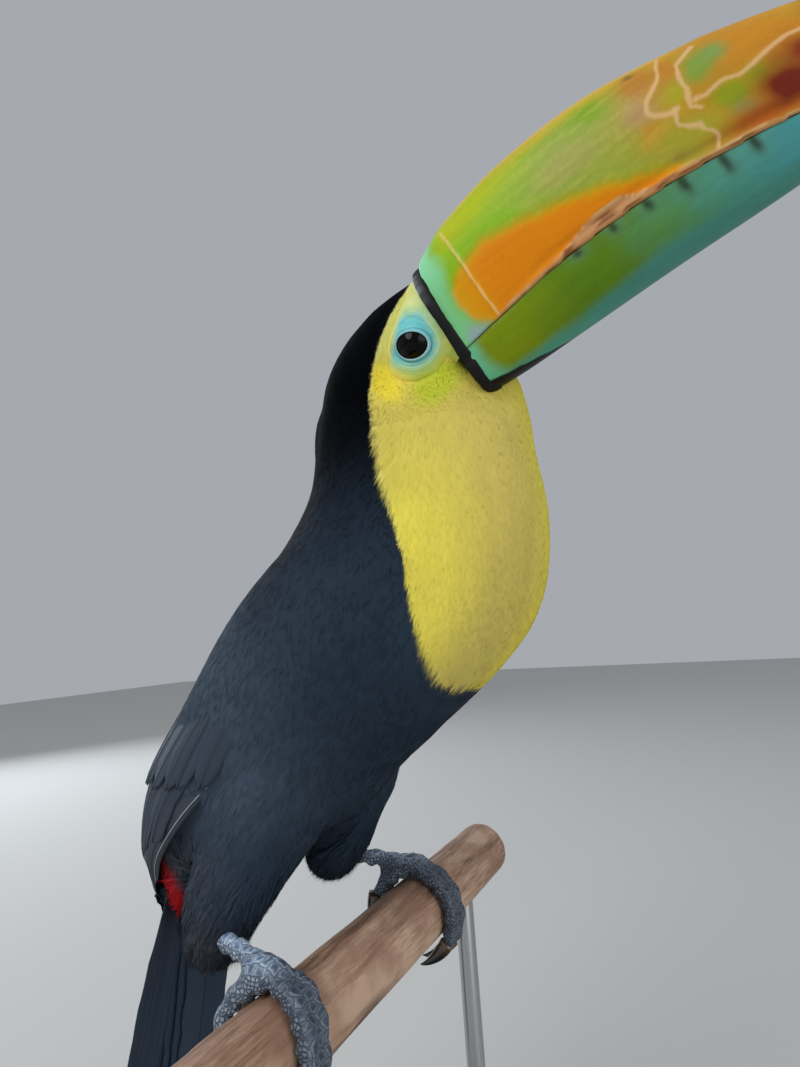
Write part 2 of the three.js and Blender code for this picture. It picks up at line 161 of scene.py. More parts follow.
def noise(points: Array, size: float, seed: int, octaves: int = 1) -> Array:
    """Smooth value noise from -1 to 1.

    Args:
        points: places, n by 3.
        size: width of the largest blotches.
        seed: picks another pattern.
        octaves: how many finer layers are added.

    Returns:
        One number for each place.
    """
    total, weight, scale = np.zeros(len(points)), 0.0, 1.0
    for octave in range(octaves):
        q = points / size * scale + 37.1 * (octave + 1) + seed * 11.7
        cell = np.floor(q).astype(np.int64)
        f = q - cell
        f = f * f * (3 - 2 * f)
        layer = np.zeros(len(points))
        for corner in range(8):
            step = np.array([corner & 1, corner >> 1 & 1, corner >> 2 & 1])
            h = cell_key(cell + step) ^ (seed * 2654435761)
            h = (h ^ (h >> 13)) * 1274126177 & 0x7FFFFFFF
            share = np.prod(np.where(step == 1, f, 1 - f), axis=1)
            layer += share * ((h ^ (h >> 16)) % 65536 / 32767.5 - 1)
        total += layer / scale
        weight += 1 / scale
        scale *= 2
    return total / weight


# ---- the bird's own frames


class HeadFrame:
    """The head's axes: along the bill, up through the crown, and out of the right cheek."""

    def __init__(self) -> None:
        """Works the axes out from the head's turn, rise and tilt."""
        turn, rise, tilt = (math.radians(a) for a in (HEAD_TURN, BILL_RISE, HEAD_TILT))
        self.forward = np.array(
            [math.cos(turn) * math.cos(rise), -math.sin(turn) * math.cos(rise), math.sin(rise)]
        )
        level = np.array([-math.sin(turn), -math.cos(turn), 0.0])
        plumb = np.cross(level, self.forward)
        self.right = level * math.cos(tilt) - plumb * math.sin(tilt)
        self.up = plumb * math.cos(tilt) + level * math.sin(tilt)
        self.axes = np.stack([self.forward, self.up, self.right])

    def to_head(self, points: Array) -> Array:
        """Places in the part's frame as (along, up, out)."""
        return (np.asarray(points) - BILL_BASE) @ self.axes.T

    def to_part(self, places: Array) -> Array:
        """Places given as (along, up, out) in the part's frame."""
        return BILL_BASE + np.asarray(places) @ self.axes


@dataclass(frozen=True)
class Ribcage:
    """Ribs of the neck and trunk: back x, z, front x, z, half width, and how far forward it is widest."""

    ribs: Table = (
        (3, 198.5, 62, 202, 18, 0),
        (-8.6, 187.5, 71, 189, 25, 0),
        (-10.4, 171, 74, 168, 29, 0.05),
        (-15, 154, 77, 148, 34, 0.05),
        (-25, 138, 76, 130, 39, 0),
        (-40, 119, 69, 108, 42, 0),
        (-57, 94, 50, 88, 43, 0),
        (-73, 66, 16, 63, 42, 0),
        (-80, 42, -5, 44, 38, 0),
        (-82, 22, -36, 29, 26, 0),
        (-83, 8, -61, 15, 15, 0),
        (-83, 1, -70, 5, 8, 0),
    )

    def place(self, at: Array, angle: Array, grow: Array) -> Array:
        """A place on the body's surface.

        Args:
            at: rib number, real.
            angle: degrees round the rib from the breast (0) to the back (180), left side positive.
            grow: distance outside the surface.

        Returns:
            Places, n by 3.
        """
        row = catmull(np.array(self.ribs, float), at)
        zero = np.zeros_like(row[..., 0])
        back = np.stack([row[..., 0], zero, row[..., 1]], -1)
        front = np.stack([row[..., 2], zero, row[..., 3]], -1)
        to_front = unit(front - back)
        depth = np.linalg.norm(front - back, axis=-1) / 2 + grow
        a = np.radians(angle)
        wide = (row[..., 4] + grow) * np.sin(a) * (1 + row[..., 5] * np.cos(a))
        middle = (back + front) / 2 + PERCH_MIDDLE
        return middle + to_front * (depth * np.cos(a))[..., None] + np.stack([zero, wide, zero], -1)


HEAD = HeadFrame()
RIBCAGE = Ribcage()
TAIL_DOWN = np.array([-math.sin(math.radians(TAIL_LEAN)), 0.0, -math.cos(math.radians(TAIL_LEAN))])
TAIL_FRONT = np.array([math.cos(math.radians(TAIL_LEAN)), 0.0, -math.sin(math.radians(TAIL_LEAN))])


def on_head(head: Array, back: float = -64.0, radius: float = 29.0) -> Array:
    """Whether places, given in the head's axes, lie on the head."""
    return (head[:, 0] > back) & (np.hypot(head[:, 1], head[:, 2]) < radius)


def both(*pieces: str) -> list[str]:
    """The names of these nodes on the left, then on the right."""
    return [f"{piece}_{side}" for side in SIDES for piece in pieces]


class Flow:
    """The lie of the plumage: guide arrows along the head, neck, trunk, thighs and tail."""

    def __init__(self) -> None:
        """Gathers the guides."""
        places: list[Array] = []
        arrows: list[Array] = []
        for along in (-3, -14, -28, -42, -56):
            for up, out, lean in (
                (20, 0, 0.0), (8, 20, 0.25), (8, -20, 0.25), (-12, 21, 0.8), (-12, -21, 0.8),
            ):
                places.append(HEAD.to_part([along, up, out]))
                arrows.append(HEAD.to_part([-1, -lean, 0]) - HEAD.to_part([0, 0, 0]))
        ribs = np.array(RIBCAGE.ribs, float)
        for k in range(len(ribs)):
            a, b = max(k - 1, 0), min(k + 1, len(ribs) - 1)
            back = np.array([ribs[b, 0] - ribs[a, 0], 0, ribs[b, 1] - ribs[a, 1]])
            front = np.array([ribs[b, 2] - ribs[a, 2], 0, ribs[b, 3] - ribs[a, 3]])
            for angle, arrow in (
                (0, front), (60, front), (-60, front), (120, back), (-120, back), (180, back),
            ):
                places.append(RIBCAGE.place(np.array([float(k)]), np.array([angle]), np.array([0.0]))[0])
                sag = 0.4 if 4 <= k <= 9 and 30 < abs(angle) < 150 else 0.0
                arrows.append(unit(unit(arrow) + np.array([0, 0, -sag])))
        for side in (1, -1):
            for x, y, z in ((-14, 40, 48), (-20, 42, 34), (-26, 42, 24), (-40, 40, 30), (-32, 30, 14)):
                places.append(PERCH_MIDDLE + np.array([x, side * y, z]))
                arrows.append(np.array([-0.42, 0.05 * side, -0.9]))
        for drop in (0, 15, 35):
            for shift in (-8, 10):
                places.append(TAIL_ROOT + TAIL_DOWN * drop + TAIL_FRONT * shift)
                arrows.append(TAIL_DOWN)
        self.places, self.arrows = np.array(places), unit(np.array(arrows))

    def at(self, points: Array, normals: Array) -> Array:
        """Direction of the plumage at each place, along the surface."""
        apart = ((points[:, None, :] - self.places[None]) ** 2).sum(-1)
        weight = 1.0 / (apart + 60.0) ** 2
        arrow = weight @ self.arrows
        arrow -= normals * (arrow * normals).sum(1, keepdims=True)
        return unit(arrow)


# ---- markings


class Markings:
    """Where each colour of the plumage lies, for skin and coat alike."""

    head_edge = np.array([
        (-70, -60), (-45, -34), (-34.2, -13.4), (-32.9, -7.8), (-31.1, -1.7), (-25.8, 4.3), (-18.2, 11.2),
        (-11.8, 15.9),
        (-6.8, 18.5), (-1, 20.5), (20, 24),
    ])
    neck_edge = np.array([
        (70, 30), (90, 41), (108, 40.6), (122, 40.2), (130, 39.6), (138, 37.2), (146, 34.3), (155, 30.5),
        (170, 27),
        (185, 25.3), (220, 22),
    ])
    face_edge = np.array([
        (-12, -6), (-10.2, -12), (-9.2, -15.7), (-4.9, -20.4), (-1.6, -22.2), (2.7, -21.6), (7.7, -18.3),
        (12.2, -14.3),
        (16.2, -9.6), (18.7, -5.1), (21, 0),
    ])

    # black is the lower plumage lifted to a bluish grey by painted light; the next colour is a painted sheen
    # for the wings
    black = srgb(43, 55, 69)
    painted_sheen = srgb(66, 79, 93)
    yellow = srgb(228, 213, 84)
    cream = srgb(226, 220, 200)
    red = srgb(176, 24, 30)
    band = srgb(58, 18, 18)

    def bib(self, points: Array) -> Array:
        """Distance outside the yellow bib, roughly in millimetres; negative inside."""
        along, up, _ = HEAD.to_head(points).T
        x, _, z = (points - PERCH_MIDDLE).T
        edge = lambda place: np.interp(place, self.head_edge[:, 0], self.head_edge[:, 1])
        slope = (edge(along + 1) - edge(along - 1)) / 2
        from_cheek = (up - edge(along)) / np.hypot(1, slope)
        from_breast = np.interp(z, self.neck_edge[:, 0], self.neck_edge[:, 1]) - x
        share = smooth(178, 192, z)
        side = from_cheek * share + from_breast * (1 - share)
        return np.maximum(side, self.bib_bottom(points) - z)

    @staticmethod
    def bib_bottom(points: Array) -> Array:
        """Height of the bib's lower border over the perch's axis."""
        return 86.5 + 18 * (np.abs(points[:, 1]) / 38) ** 3

    def bare_face(self, points: Array) -> Array:
        """Distance inside the bare skin round either eye; negative outside."""
        along, up, out = HEAD.to_head(points).T
        edge = np.interp(up, self.face_edge[:, 0], self.face_edge[:, 1])
        inside = np.minimum(along - edge, up + 10.4 - 0.4 * np.maximum(0, along + 8))
        inside = np.minimum(inside, np.minimum(19 - up, np.abs(out) - 7))
        return np.minimum(inside, 3 - along)

    def colour(self, points: Array) -> Array:
        """Plumage colour at each place, with painted shade and sheen on the black and painted light on the
        lower bib.

        Args:
            points: places, n by 3.

        Returns:
            Linear colours, n by 3.
        """
        x, y, z = (points - PERCH_MIDDLE).T
        along, up, out = HEAD.to_head(points).T
        wander = 0.5 * noise(points, 2.4, 5, 2)
        bib = self.bib(points) + wander
        # painted shade and light: the black is darkest up the head and neck and lifted to a bluish grey lower
        # down
        low = smooth(182, 112, z)
        base = mix(srgb(3, 5, 9), self.black, low)
        # painted sheen: the black over the folded wings is lightened to a blue grey
        wing = smooth(22, -34, x) * smooth(150, 112, z - 0.3 * x) * smooth(34, 62, z)
        nape = smooth(70, 20, np.abs(z - 165)) * smooth(10, -8, x)
        belly = smooth(30, 8, z) * smooth(0.1, 0.6, noise(points, 5, 12, 2))
        base = mix(base, self.painted_sheen, wing)
        base = overlay(base, ((24, 16, 17), 0.6 * nape), ((78, 76, 78), 0.6 * belly))
        base = base * (1 + 0.07 * noise(points * [1, 1, 0.22], 7, 2, 2))[:, None]
        shank = smooth(50, 34, z) * smooth(-14, -34, x) * smooth(20, 32, np.abs(y))
        hairs = smooth(0.0, 0.7, noise(points * [1, 1, 0.07], 1.7, 14, 2))
        base = mix(base, srgb(92, 86, 84), (0.15 + 0.5 * hairs) * shank)
        # random olive patches, and painted shade that turns the bib olive towards its back
        olive = smooth(-0.1, 0.9, noise(points, 16, 9, 2) + 0.5 * smooth(16, -8, x - 36))
        middle = smooth(20, 3, np.abs(y + 16)) * smooth(200, 172, z)
        far_side = smooth(2, 16, y)
        bright = overlay(
            self.yellow,
            ((212, 198, 84), 0.7 * olive),
            ((196, 178, 98), 0.8 * middle),
            ((206, 190, 70), 0.7 * far_side),
        )
        streak = noise(points * [1, 1, 0.16], 2.6, 17, 2)
        # random streaks, and painted light that lightens the bib towards its lower edge
        bright = bright * (1 + 0.05 * streak + 0.1 * smooth(128, 100, z))[:, None]
        lemon = smooth(3, 10, up) * smooth(-30, -24, along)
        behind = smooth(6.5, 2.5, np.hypot(along + 24.5 + 0.3 * up, (up - 1) / 1.9))
        cheek = smooth(11, 4, np.hypot(along + 9, (up + 10.5) * 1.3)) * smooth(8, 12, np.abs(out))
        bright = overlay(
            bright,
            ((228, 228, 128), 0.8 * lemon),
            ((250, 228, 66), 0.85 * behind),
            ((186, 200, 48), 0.8 * cheek),
        )
        colour = mix(bright, base, smooth(-0.4, 0.4, bib))
        pale = smooth(-1.2, -0.4, bib) * smooth(0.3, -0.3, bib) * smooth(120, 150, z)
        colour = mix(colour, srgb(240, 232, 160), 0.4 * pale)
        drip = z - self.bib_bottom(points)
        under = smooth(0, 0.6, bib) * smooth(42, 50, x)
        colour = mix(colour, self.band, 0.6 * under * smooth(1.0, -0.5, drip) * smooth(-4.8, -2.2, drip))
        drop = (points - TAIL_ROOT) @ TAIL_DOWN
        shift = (points - TAIL_ROOT) @ TAIL_FRONT
        rump = (drop > -12) & (drop < 4) & (shift < -2) & (np.abs(y) < 9)
        across = np.abs(y) - 7 * smooth(21, 15, shift)
        vent = smooth(-11, -5, drop) * (drop < 40) * smooth(-0.5, 2.0, shift) * smooth(25, 23, shift)
        colour[rump] = self.cream
        return mix(colour, self.red, vent * smooth(22, 18.5, across))


@dataclass(frozen=True)
class Strap:
    """The black edge that runs from the band's lower corners forward under the bill."""

    path: tuple[Triple, ...] = (
        (-0.5, -3, 21.5), (0, -12, 21.2), (0.6, -20, 20), (2, -24.5, 17.5), (8, -25.4, 16.5), (16, -25.6, 15),
        (27, -25.4, 13),
    )

    def away(self, points: Array) -> Array:
        """Distance of each place from the band's sides and the strap."""
        best = np.full(len(points), 99.0)
        for side in SIDES.values():
            line = HEAD.to_part(np.array(self.path) * [1, 1, -side])
            for a, b in zip(line, line[1:]):
                t = np.clip(((points - a) @ (b - a)) / ((b - a) @ (b - a)), 0, 1)
                best = np.minimum(best, np.linalg.norm(points - a - t[:, None] * (b - a), axis=1))
        return best


FLOW = Flow()
MARKINGS = Markings()
STRAP = Strap()


# ---- making meshes


@dataclass
class Sheet:
    """Points and faces of one mesh, with colours and bake patches for its points."""

    points: Array
    faces: Array
    tint: Array | None = None
    patch: Array | None = None
    vane: Array | None = None
    ups: Array | None = None
    soft: float = 0.93

    def build(self, name: str) -> Object:
        """Makes the smooth-shaded object, in metres. Where ups are given, its shading mostly follows them."""
        mesh = bpy.data.meshes.new(name)
        faces = np.asarray(self.faces, np.int32)
        corners = faces.shape[1]
        mesh.vertices.add(len(self.points))
        mesh.vertices.foreach_set("co", (self.points * MM).astype(np.float32).ravel())
        mesh.loops.add(faces.size)
        mesh.polygons.add(len(faces))
        mesh.loops.foreach_set("vertex_index", faces.ravel())
        mesh.polygons.foreach_set("loop_start", np.arange(0, faces.size, corners, dtype=np.int32))
        mesh.update(calc_edges=True)
        mesh.polygons.foreach_set("use_smooth", np.ones(len(faces), bool))
        if self.tint is not None:
            paint(mesh, "tint", self.tint)
        if self.vane is not None:
            put(mesh, "vane", self.vane)
        if self.patch is not None:
            layer = mesh.uv_layers.new(name="OFBake")
            layer.data.foreach_set("uv", self.patch[faces.ravel()].astype(np.float32).ravel())
        if self.ups is not None:
            own = np.empty(len(self.points) * 3, np.float32)
            mesh.vertices.foreach_get("normal", own)
            own = own.reshape(-1, 3)
            own = own * np.where((own * self.ups).sum(1, keepdims=True) < 0, -1, 1)
            mesh.normals_split_custom_set_from_vertices(unit(own * (1 - self.soft) + self.ups * self.soft))
        return link(name, mesh)


def link(name: str, data: bpy.types.ID) -> Object:
    """A new object of the scene that holds this mesh, lamp or camera."""
    obj = bpy.data.objects.new(name, data)
    bpy.context.scene.collection.objects.link(obj)
    return obj


def paint(mesh: bpy.types.Mesh, name: str, colours: Array) -> None:
    """Gives the mesh's points a colour attribute."""
    layer = mesh.color_attributes.new(name, "FLOAT_COLOR", "POINT")
    full = np.ones((len(colours), 4), np.float32)
    full[:, :3] = np.clip(colours, 0, 1)
    layer.data.foreach_set("color", full.ravel())


def put(mesh: bpy.types.Mesh, name: str, vectors: Array) -> None:
    """Gives the mesh's points a vector attribute."""
    layer = mesh.attributes.new(name, "FLOAT_VECTOR", "POINT")
    layer.data.foreach_set("vector", vectors.astype(np.float32).ravel())


def stack(sheets: list[Sheet]) -> Sheet:
    """Joins sheets whose faces have the same number of corners."""
    starts = np.cumsum([0] + [len(s.points) for s in sheets[:-1]])
    join = lambda pick: None if pick(sheets[0]) is None else np.concatenate([pick(s) for s in sheets])
    return Sheet(
        join(lambda s: s.points),
        np.concatenate([s.faces + k for s, k in zip(sheets, starts)]),
        join(lambda s: s.tint),
        join(lambda s: s.patch),
        join(lambda s: s.vane),
    )


def lathe_faces(rings: int, around: int, closed: bool = True, wrapped: bool = False) -> Array:
    """Quads between rings of points.

    Args:
        rings: how many rings.
        around: points in each ring.
        closed: whether each ring's last point joins its first.
        wrapped: whether the last ring joins the first.

    Returns:
        The quads.
    """
    rows, columns = rings - (not wrapped), around - (not closed)
    r, i = np.meshgrid(np.arange(rows), np.arange(columns), indexing="ij")
    j, s = (i + 1) % around, (r + 1) % rings
    return np.stack([r * around + i, r * around + j, s * around + j, s * around + i], -1).reshape(-1, 4)


def tube_faces(rings: int, around: int) -> Array:
    """Triangles of a tube whose ends close on the two points that follow its rings."""
    quads = lathe_faces(rings, around)
    i, last, middle = np.arange(around), (rings - 1) * around, rings * around
    j = (i + 1) % around
    first, second = np.stack([j, i, i * 0 + middle], 1), np.stack([last + i, last + j, i * 0 + middle + 1], 1)
    return np.concatenate([quads[:, :3], first, second, quads[:, [0, 2, 3]]])


def select(*objects: Object) -> None:
    """Selects these objects only and makes the first one active."""
    bpy.ops.object.select_all(action="DESELECT")
    for obj in objects:
        obj.select_set(True)
    if objects:
        bpy.context.view_layer.objects.active = objects[0]


def added(name: str) -> Object:
    """The object that was just added, with its name and its transform applied."""
    obj = bpy.context.object
    obj.name = name
    bpy.ops.object.transform_apply(location=True, rotation=True, scale=True)
    return obj


def apply_modifier(obj: Object, kind: str, **settings: object) -> None:
    """Adds a modifier with these settings and applies it."""
    select(obj)
    modifier = obj.modifiers.new(kind.title(), kind)
    for name, value in settings.items():
        setattr(modifier, name, value)
    bpy.ops.object.modifier_apply(modifier=modifier.name)


def even_out(obj: Object, rounds: int) -> None:
    """Smooths the mesh a number of times."""
    apply_modifier(obj, "SMOOTH", factor=0.5, iterations=rounds)


def pick(obj: Object, kind: str, wanted: Callable[[Vector, Vector], bool]) -> None:
    """Opens the object in edit mode with only the wanted edges or faces selected.

    Args:
        obj: the object.
        kind: EDGE or FACE.
        wanted: says it from an edge's two ends, or from a face's middle and normal.
    """
    select(obj)
    bpy.ops.object.mode_set(mode="EDIT")
    bpy.ops.mesh.select_mode(type=kind)
    bpy.ops.mesh.select_all(action="DESELECT")
    mesh = bmesh.from_edit_mesh(obj.data)
    if kind == "EDGE":
        for edge in mesh.edges:
            edge.select = wanted(edge.verts[0].co, edge.verts[1].co)
    else:
        for face in mesh.faces:
            face.select = wanted(face.calc_center_median(), face.normal)
    mesh.select_flush_mode()
    bmesh.update_edit_mesh(obj.data)


def close_edit() -> None:
    """Leaves edit mode."""
    bpy.ops.object.mode_set(mode="OBJECT")


def settle(obj: Object, slot: Slot, *nodes: str, finish: "Finish | None" = None) -> None:
    """Gives a finished piece its material and lets it stand for its nodes.

    Args:
        obj: the piece.
        slot: the slot of its finish; not used.
        nodes: the nodes it stands for.
        finish: its finish, where it has no material yet.
    """
    if finish:
        obj.data.materials.append(finish.make())
    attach(obj, "root")
    if nodes:
        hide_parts(*nodes)
    log.info("%s: %d faces", obj.name, len(obj.data.polygons))


def read(obj: Object, what: str) -> Array:
    """One vector attribute of the mesh's points: co or normal."""
    values = np.empty(len(obj.data.vertices) * 3, np.float32)
    obj.data.vertices.foreach_get(what, values)
    return values.reshape(-1, 3).astype(float)


def points_of(obj: Object) -> Array:
    """The mesh's points in millimetres."""
    return read(obj, "co") / MM


def set_points(obj: Object, points: Array) -> None:
    """Moves the mesh's points, given in millimetres."""
    obj.data.vertices.foreach_set("co", (points * MM).astype(np.float32).ravel())
    obj.data.update()


class Ground:
    """A surface that tufts stand on."""

    tries = 7

    def __init__(self, obj: Object) -> None:
        """Takes the object's triangles."""
        self.points, self.normals = points_of(obj), read(obj, "normal")
        mesh = obj.data
        mesh.calc_loop_triangles()
        tris = np.empty(len(mesh.loop_triangles) * 3, np.int32)
        mesh.loop_triangles.foreach_get("vertices", tris)
        self.tris = tris.reshape(-1, 3)
        self.tree = BVHTree.FromPolygons(self.points.tolist(), self.tris.tolist())
        corners = self.points[self.tris]
        self.middles = corners.mean(1)
        first, second = corners[:, 1] - corners[:, 0], corners[:, 2] - corners[:, 0]
        self.areas = np.linalg.norm(np.cross(first, second), axis=1) / 2
        self.tri_normals = unit(self.normals[self.tris].mean(1))

    def nearest(self, points: Array) -> tuple[Array, Array]:
        """Nearest places on the surface and the normals there."""
        found = [self.tree.find_nearest(p) for p in points.tolist()]
        places = np.array([f[0] for f in found])
        return places, self.tri_normals[[f[2] for f in found]]

    def hit(self, starts: Array, arrow: Array, reach: float = 80.0) -> Array:
        """Places where lines along one arrow meet the surface; the start where one misses."""
        way = Vector(arrow)
        out = starts.copy()
        for k, start in enumerate(starts.tolist()):
            place = self.tree.ray_cast(start, way, reach)[0]
            if place is not None:
                out[k] = place
        return out

    def scatter(self, keep: Array, spacing: float, rng: np.random.Generator) -> tuple[Array, Array]:
        """Evenly spread places on the triangles that are kept.

        Args:
            keep: a truth value for each triangle.
            spacing: distance between places.
            rng: the source of chance.

        Returns:
            Places and normals.
        """
        chosen = np.where(keep)[0]
        area = self.areas[chosen]
        count = int(area.sum() / spacing**2 * self.tries)
        rank = np.searchsorted(np.cumsum(area) / area.sum(), rng.random(count))
        pick = chosen[rank.clip(0, len(chosen) - 1)]
        a, b = rng.random(count), rng.random(count)
        flip = a + b > 1
        a[flip], b[flip] = 1 - a[flip], 1 - b[flip]
        c = self.points[self.tris[pick]]
        places = c[:, 0] + (c[:, 1] - c[:, 0]) * a[:, None] + (c[:, 2] - c[:, 0]) * b[:, None]
        cell = np.floor(places / spacing).astype(np.int64)
        first = np.unique(cell_key(cell), return_index=True)[1]
        return places[first], self.tri_normals[pick[first]]


# ---- finishes


def new_material(name: str) -> tuple[Material, Tree, Node]:
    """An empty material with its shader."""
    material = bpy.data.materials.new(name)
    material.use_nodes = True
    tree = material.node_tree
    return material, tree, tree.nodes["Principled BSDF"]


def fill(tree: Tree, node: Node, inputs: dict[str, object]) -> None:
    """Fills a node's inputs, each with a value or with a socket to link from."""
    for name, value in inputs.items():
        socket = node.inputs[int(name) if name.isdigit() else name]
        if isinstance(value, Socket):
            tree.links.new(value, socket)
        else:
            socket.default_value = value


def add_node(tree: Tree, kind: str, inputs: dict[str, object] | None = None, **settings: object) -> Node:
    """Adds a node, sets its properties and fills its inputs.

    Args:
        tree: the node tree.
        kind: the node's type, without its first part.
        inputs: input names or numbers with a value or a socket to link from.
        settings: the node's own properties.

    Returns:
        The new node.
    """
    node = tree.nodes.new(f"ShaderNode{kind}")
    for name, value in settings.items():
        setattr(node, name, value)
    fill(tree, node, inputs or {})
    return node


def attribute(tree: Tree, name: str, output: str) -> Socket:
    """A colour or vector that the mesh's points hold."""
    return add_node(tree, "Attribute", attribute_name=name).outputs[output]


def place_of(tree: Tree) -> Socket:
    """The place on the object, in metres."""
    return add_node(tree, "TexCoord").outputs["Object"]


def mapped(tree: Tree, place: Socket, **settings: object) -> Socket:
    """A place moved by Location or stretched by Scale."""
    return add_node(tree, "Mapping", {"Vector": place} | settings).outputs[0]


def grain(tree: Tree, place: Socket, scale: float, detail: float, **settings: object) -> Socket:
    """Noise at each place, from 0 to 1."""
    inputs = {"Vector": place, "Scale": scale, "Detail": detail} | settings
    return add_node(tree, "TexNoise", inputs).outputs["Fac"]


def times_plus(tree: Tree, first: Socket, factor: float, added_to: Socket) -> Socket:
    """First times the factor, added to another number."""
    inputs = {"0": first, "1": factor, "2": added_to}
    return add_node(tree, "Math", inputs, operation="MULTIPLY_ADD").outputs[0]


def blend(tree: Tree, share: object, first: Socket, second: object, way: str = "MIX") -> Socket:
    """A colour between first and second."""
    inputs = {"0": share, "6": first, "7": second}
    return add_node(tree, "Mix", inputs, data_type="RGBA", blend_type=way).outputs[2]


def roughen(tree: Tree, shader: Node, height: Socket, depth: float) -> None:
    """Gives the shader a relief of this depth in millimetres."""
    bump = add_node(tree, "Bump", {"Strength": 1.0, "Distance": depth * MM, "Height": height})
    tree.links.new(bump.outputs["Normal"], shader.inputs["Normal"])


def rgba(colour: Triple) -> tuple[float, float, float, float]:
    """A display colour as a node's value, with full opacity."""
    return (*map(float, srgb(*colour)), 1.0)


@dataclass(frozen=True)
class TintFinish:
    """A surface whose colour is its tint attribute, with a fine bump or with the barbs of a vane."""

    name: str
    roughness: float
    specular: float = 0.5
    coat: float = 0.0
    coat_roughness: float = 0.1
    bump_size: float = 0.0
    bump_height: float = 0.0
    barbs: float = 0.0
    barb_slant: float = -1.1
    barb_height: float = 0.05

    def make(self) -> Material:
        """Makes the material."""
        material, tree, shader = new_material(self.name)
        fill(tree, shader, {
            "Base Color": attribute(tree, "tint", "Color"),
            "Roughness": self.roughness,
            "Specular IOR Level": self.specular,
            "Coat Weight": self.coat,
            "Coat Roughness": self.coat_roughness,
        })
        if self.bump_size:
            fine = grain(tree, place_of(tree), 1 / (self.bump_size * MM), 4.0)
            roughen(tree, shader, fine, self.bump_height)
        if self.barbs:
            part = add_node(tree, "SeparateXYZ", {"Vector": attribute(tree, "vane", "Vector")})
            away = add_node(tree, "Math", {"0": part.outputs["X"]}, operation="ABSOLUTE")
            slant = times_plus(tree, away.outputs[0], self.barb_slant, part.outputs["Y"])
            line = add_node(tree, "Math", {"0": slant, "1": WAVE / self.barbs}, operation="MULTIPLY")
            wave = add_node(tree, "Math", {"0": line.outputs[0]}, operation="SINE")
            roughen(tree, shader, wave.outputs[0], self.barb_height)
        return material


@dataclass(frozen=True)
class PlainFinish:
    """A surface of one colour."""

    name: str
    colour: Triple
    roughness: float
    metallic: float = 0.0

    def make(self) -> Material:
        """Makes the material."""
        material, tree, shader = new_material(self.name)
        inputs = {"Base Color": rgba(self.colour), "Roughness": self.roughness, "Metallic": self.metallic}
        fill(tree, shader, inputs)
        return material


@dataclass(frozen=True)
class ScaleFinish:
    """Blue-grey foot skin: pale-rimmed oval plates along the top of each toe and fine beads at the sides."""

    name: str = "scaly_foot_skin"
    dark: Triple = (106, 125, 150)
    body: Triple = (146, 169, 200)
    pale: Triple = (216, 232, 248)
    plate_rate: Triple = (0.3, 0.42, 1.0)
    bead_rate: Triple = (780.0, 780.0, 780.0)

    def plates(self, tree: Tree, place: Socket, rate: Triple) -> Socket:
        """Distance from the joint between plates, 0 at a joint; rate is plates for each unit of the place."""
        spread = mapped(tree, place, Scale=rate)
        wobble = add_node(tree, "TexNoise", {"Vector": spread, "Scale": 1.4, "Detail": 2.0})
        inputs = {"0": wobble.outputs["Color"], "1": (0.55, 0.55, 0.55), "2": spread}
        moved = add_node(tree, "VectorMath", inputs, operation="MULTIPLY_ADD")
        inputs = {"Vector": moved.outputs[0], "Scale": 1.0, "Randomness": 0.6}
        return add_node(tree, "TexVoronoi", inputs, feature="DISTANCE_TO_EDGE").outputs["Distance"]

    @staticmethod
    def ramp(tree: Tree, near: Socket, rough: Socket, *stops: tuple[float, Triple]) -> Socket:
        """Colours by the distance from the joint between plates, roughened by the grain."""
        ramp = add_node(tree, "ValToRGB", {"Fac": times_plus(tree, rough, 0.16, near)})
        for k, (at, colour) in enumerate(stops):
            stop = ramp.color_ramp.elements[k] if k < 2 else ramp.color_ramp.elements.new(at)
            stop.position, stop.color = at, rgba(colour)
        return ramp.outputs["Color"]

    def make(self) -> Material:
        """Makes the material. The vane attribute holds the place across and along each toe."""
        material, tree, shader = new_material(self.name)
        place = place_of(tree)
        part = add_node(tree, "SeparateXYZ", {"Vector": attribute(tree, "vane", "Vector")})
        flat = add_node(tree, "CombineXYZ", {"X": part.outputs["X"], "Y": part.outputs["Y"]})
        large = self.plates(tree, flat.outputs[0], self.plate_rate)
        small = self.plates(tree, place, self.bead_rate)
        inputs = {"Value": part.outputs["Z"], "From Min": 0.4, "From Max": 0.65}
        top = add_node(tree, "MapRange", inputs).outputs[0]
        edge = add_node(tree, "Mix", {"0": top, "2": small, "3": large}, data_type="FLOAT")
        rough = grain(tree, place, 1500.0, 3.0)
        rim = (self.body, self.pale, self.body, self.dark)
        plate = self.ramp(tree, large, rough, (0.06, self.dark), *zip((0.12, 0.2, 0.32, 0.46), rim))
        bead = self.ramp(tree, small, rough, (0.1, self.dark), (0.2, self.body), (0.36, self.pale))
        both_kinds = blend(tree, top, bead, plate)
        # the plates times the tint attribute, which carries the legs' painted shade and random tone
        wear_and_shade = blend(tree, 1.0, both_kinds, attribute(tree, "tint", "Color"), "MULTIPLY")
        raised = add_node(tree, "MapRange", {"Value": edge.outputs[0], "From Max": 0.22})
        roughen(tree, shader, times_plus(tree, rough, 0.4, raised.outputs[0]), 0.3)
        fill(tree, shader, {"Base Color": wear_and_shade, "Roughness": 0.5, "Specular IOR Level": 0.4})
        return material


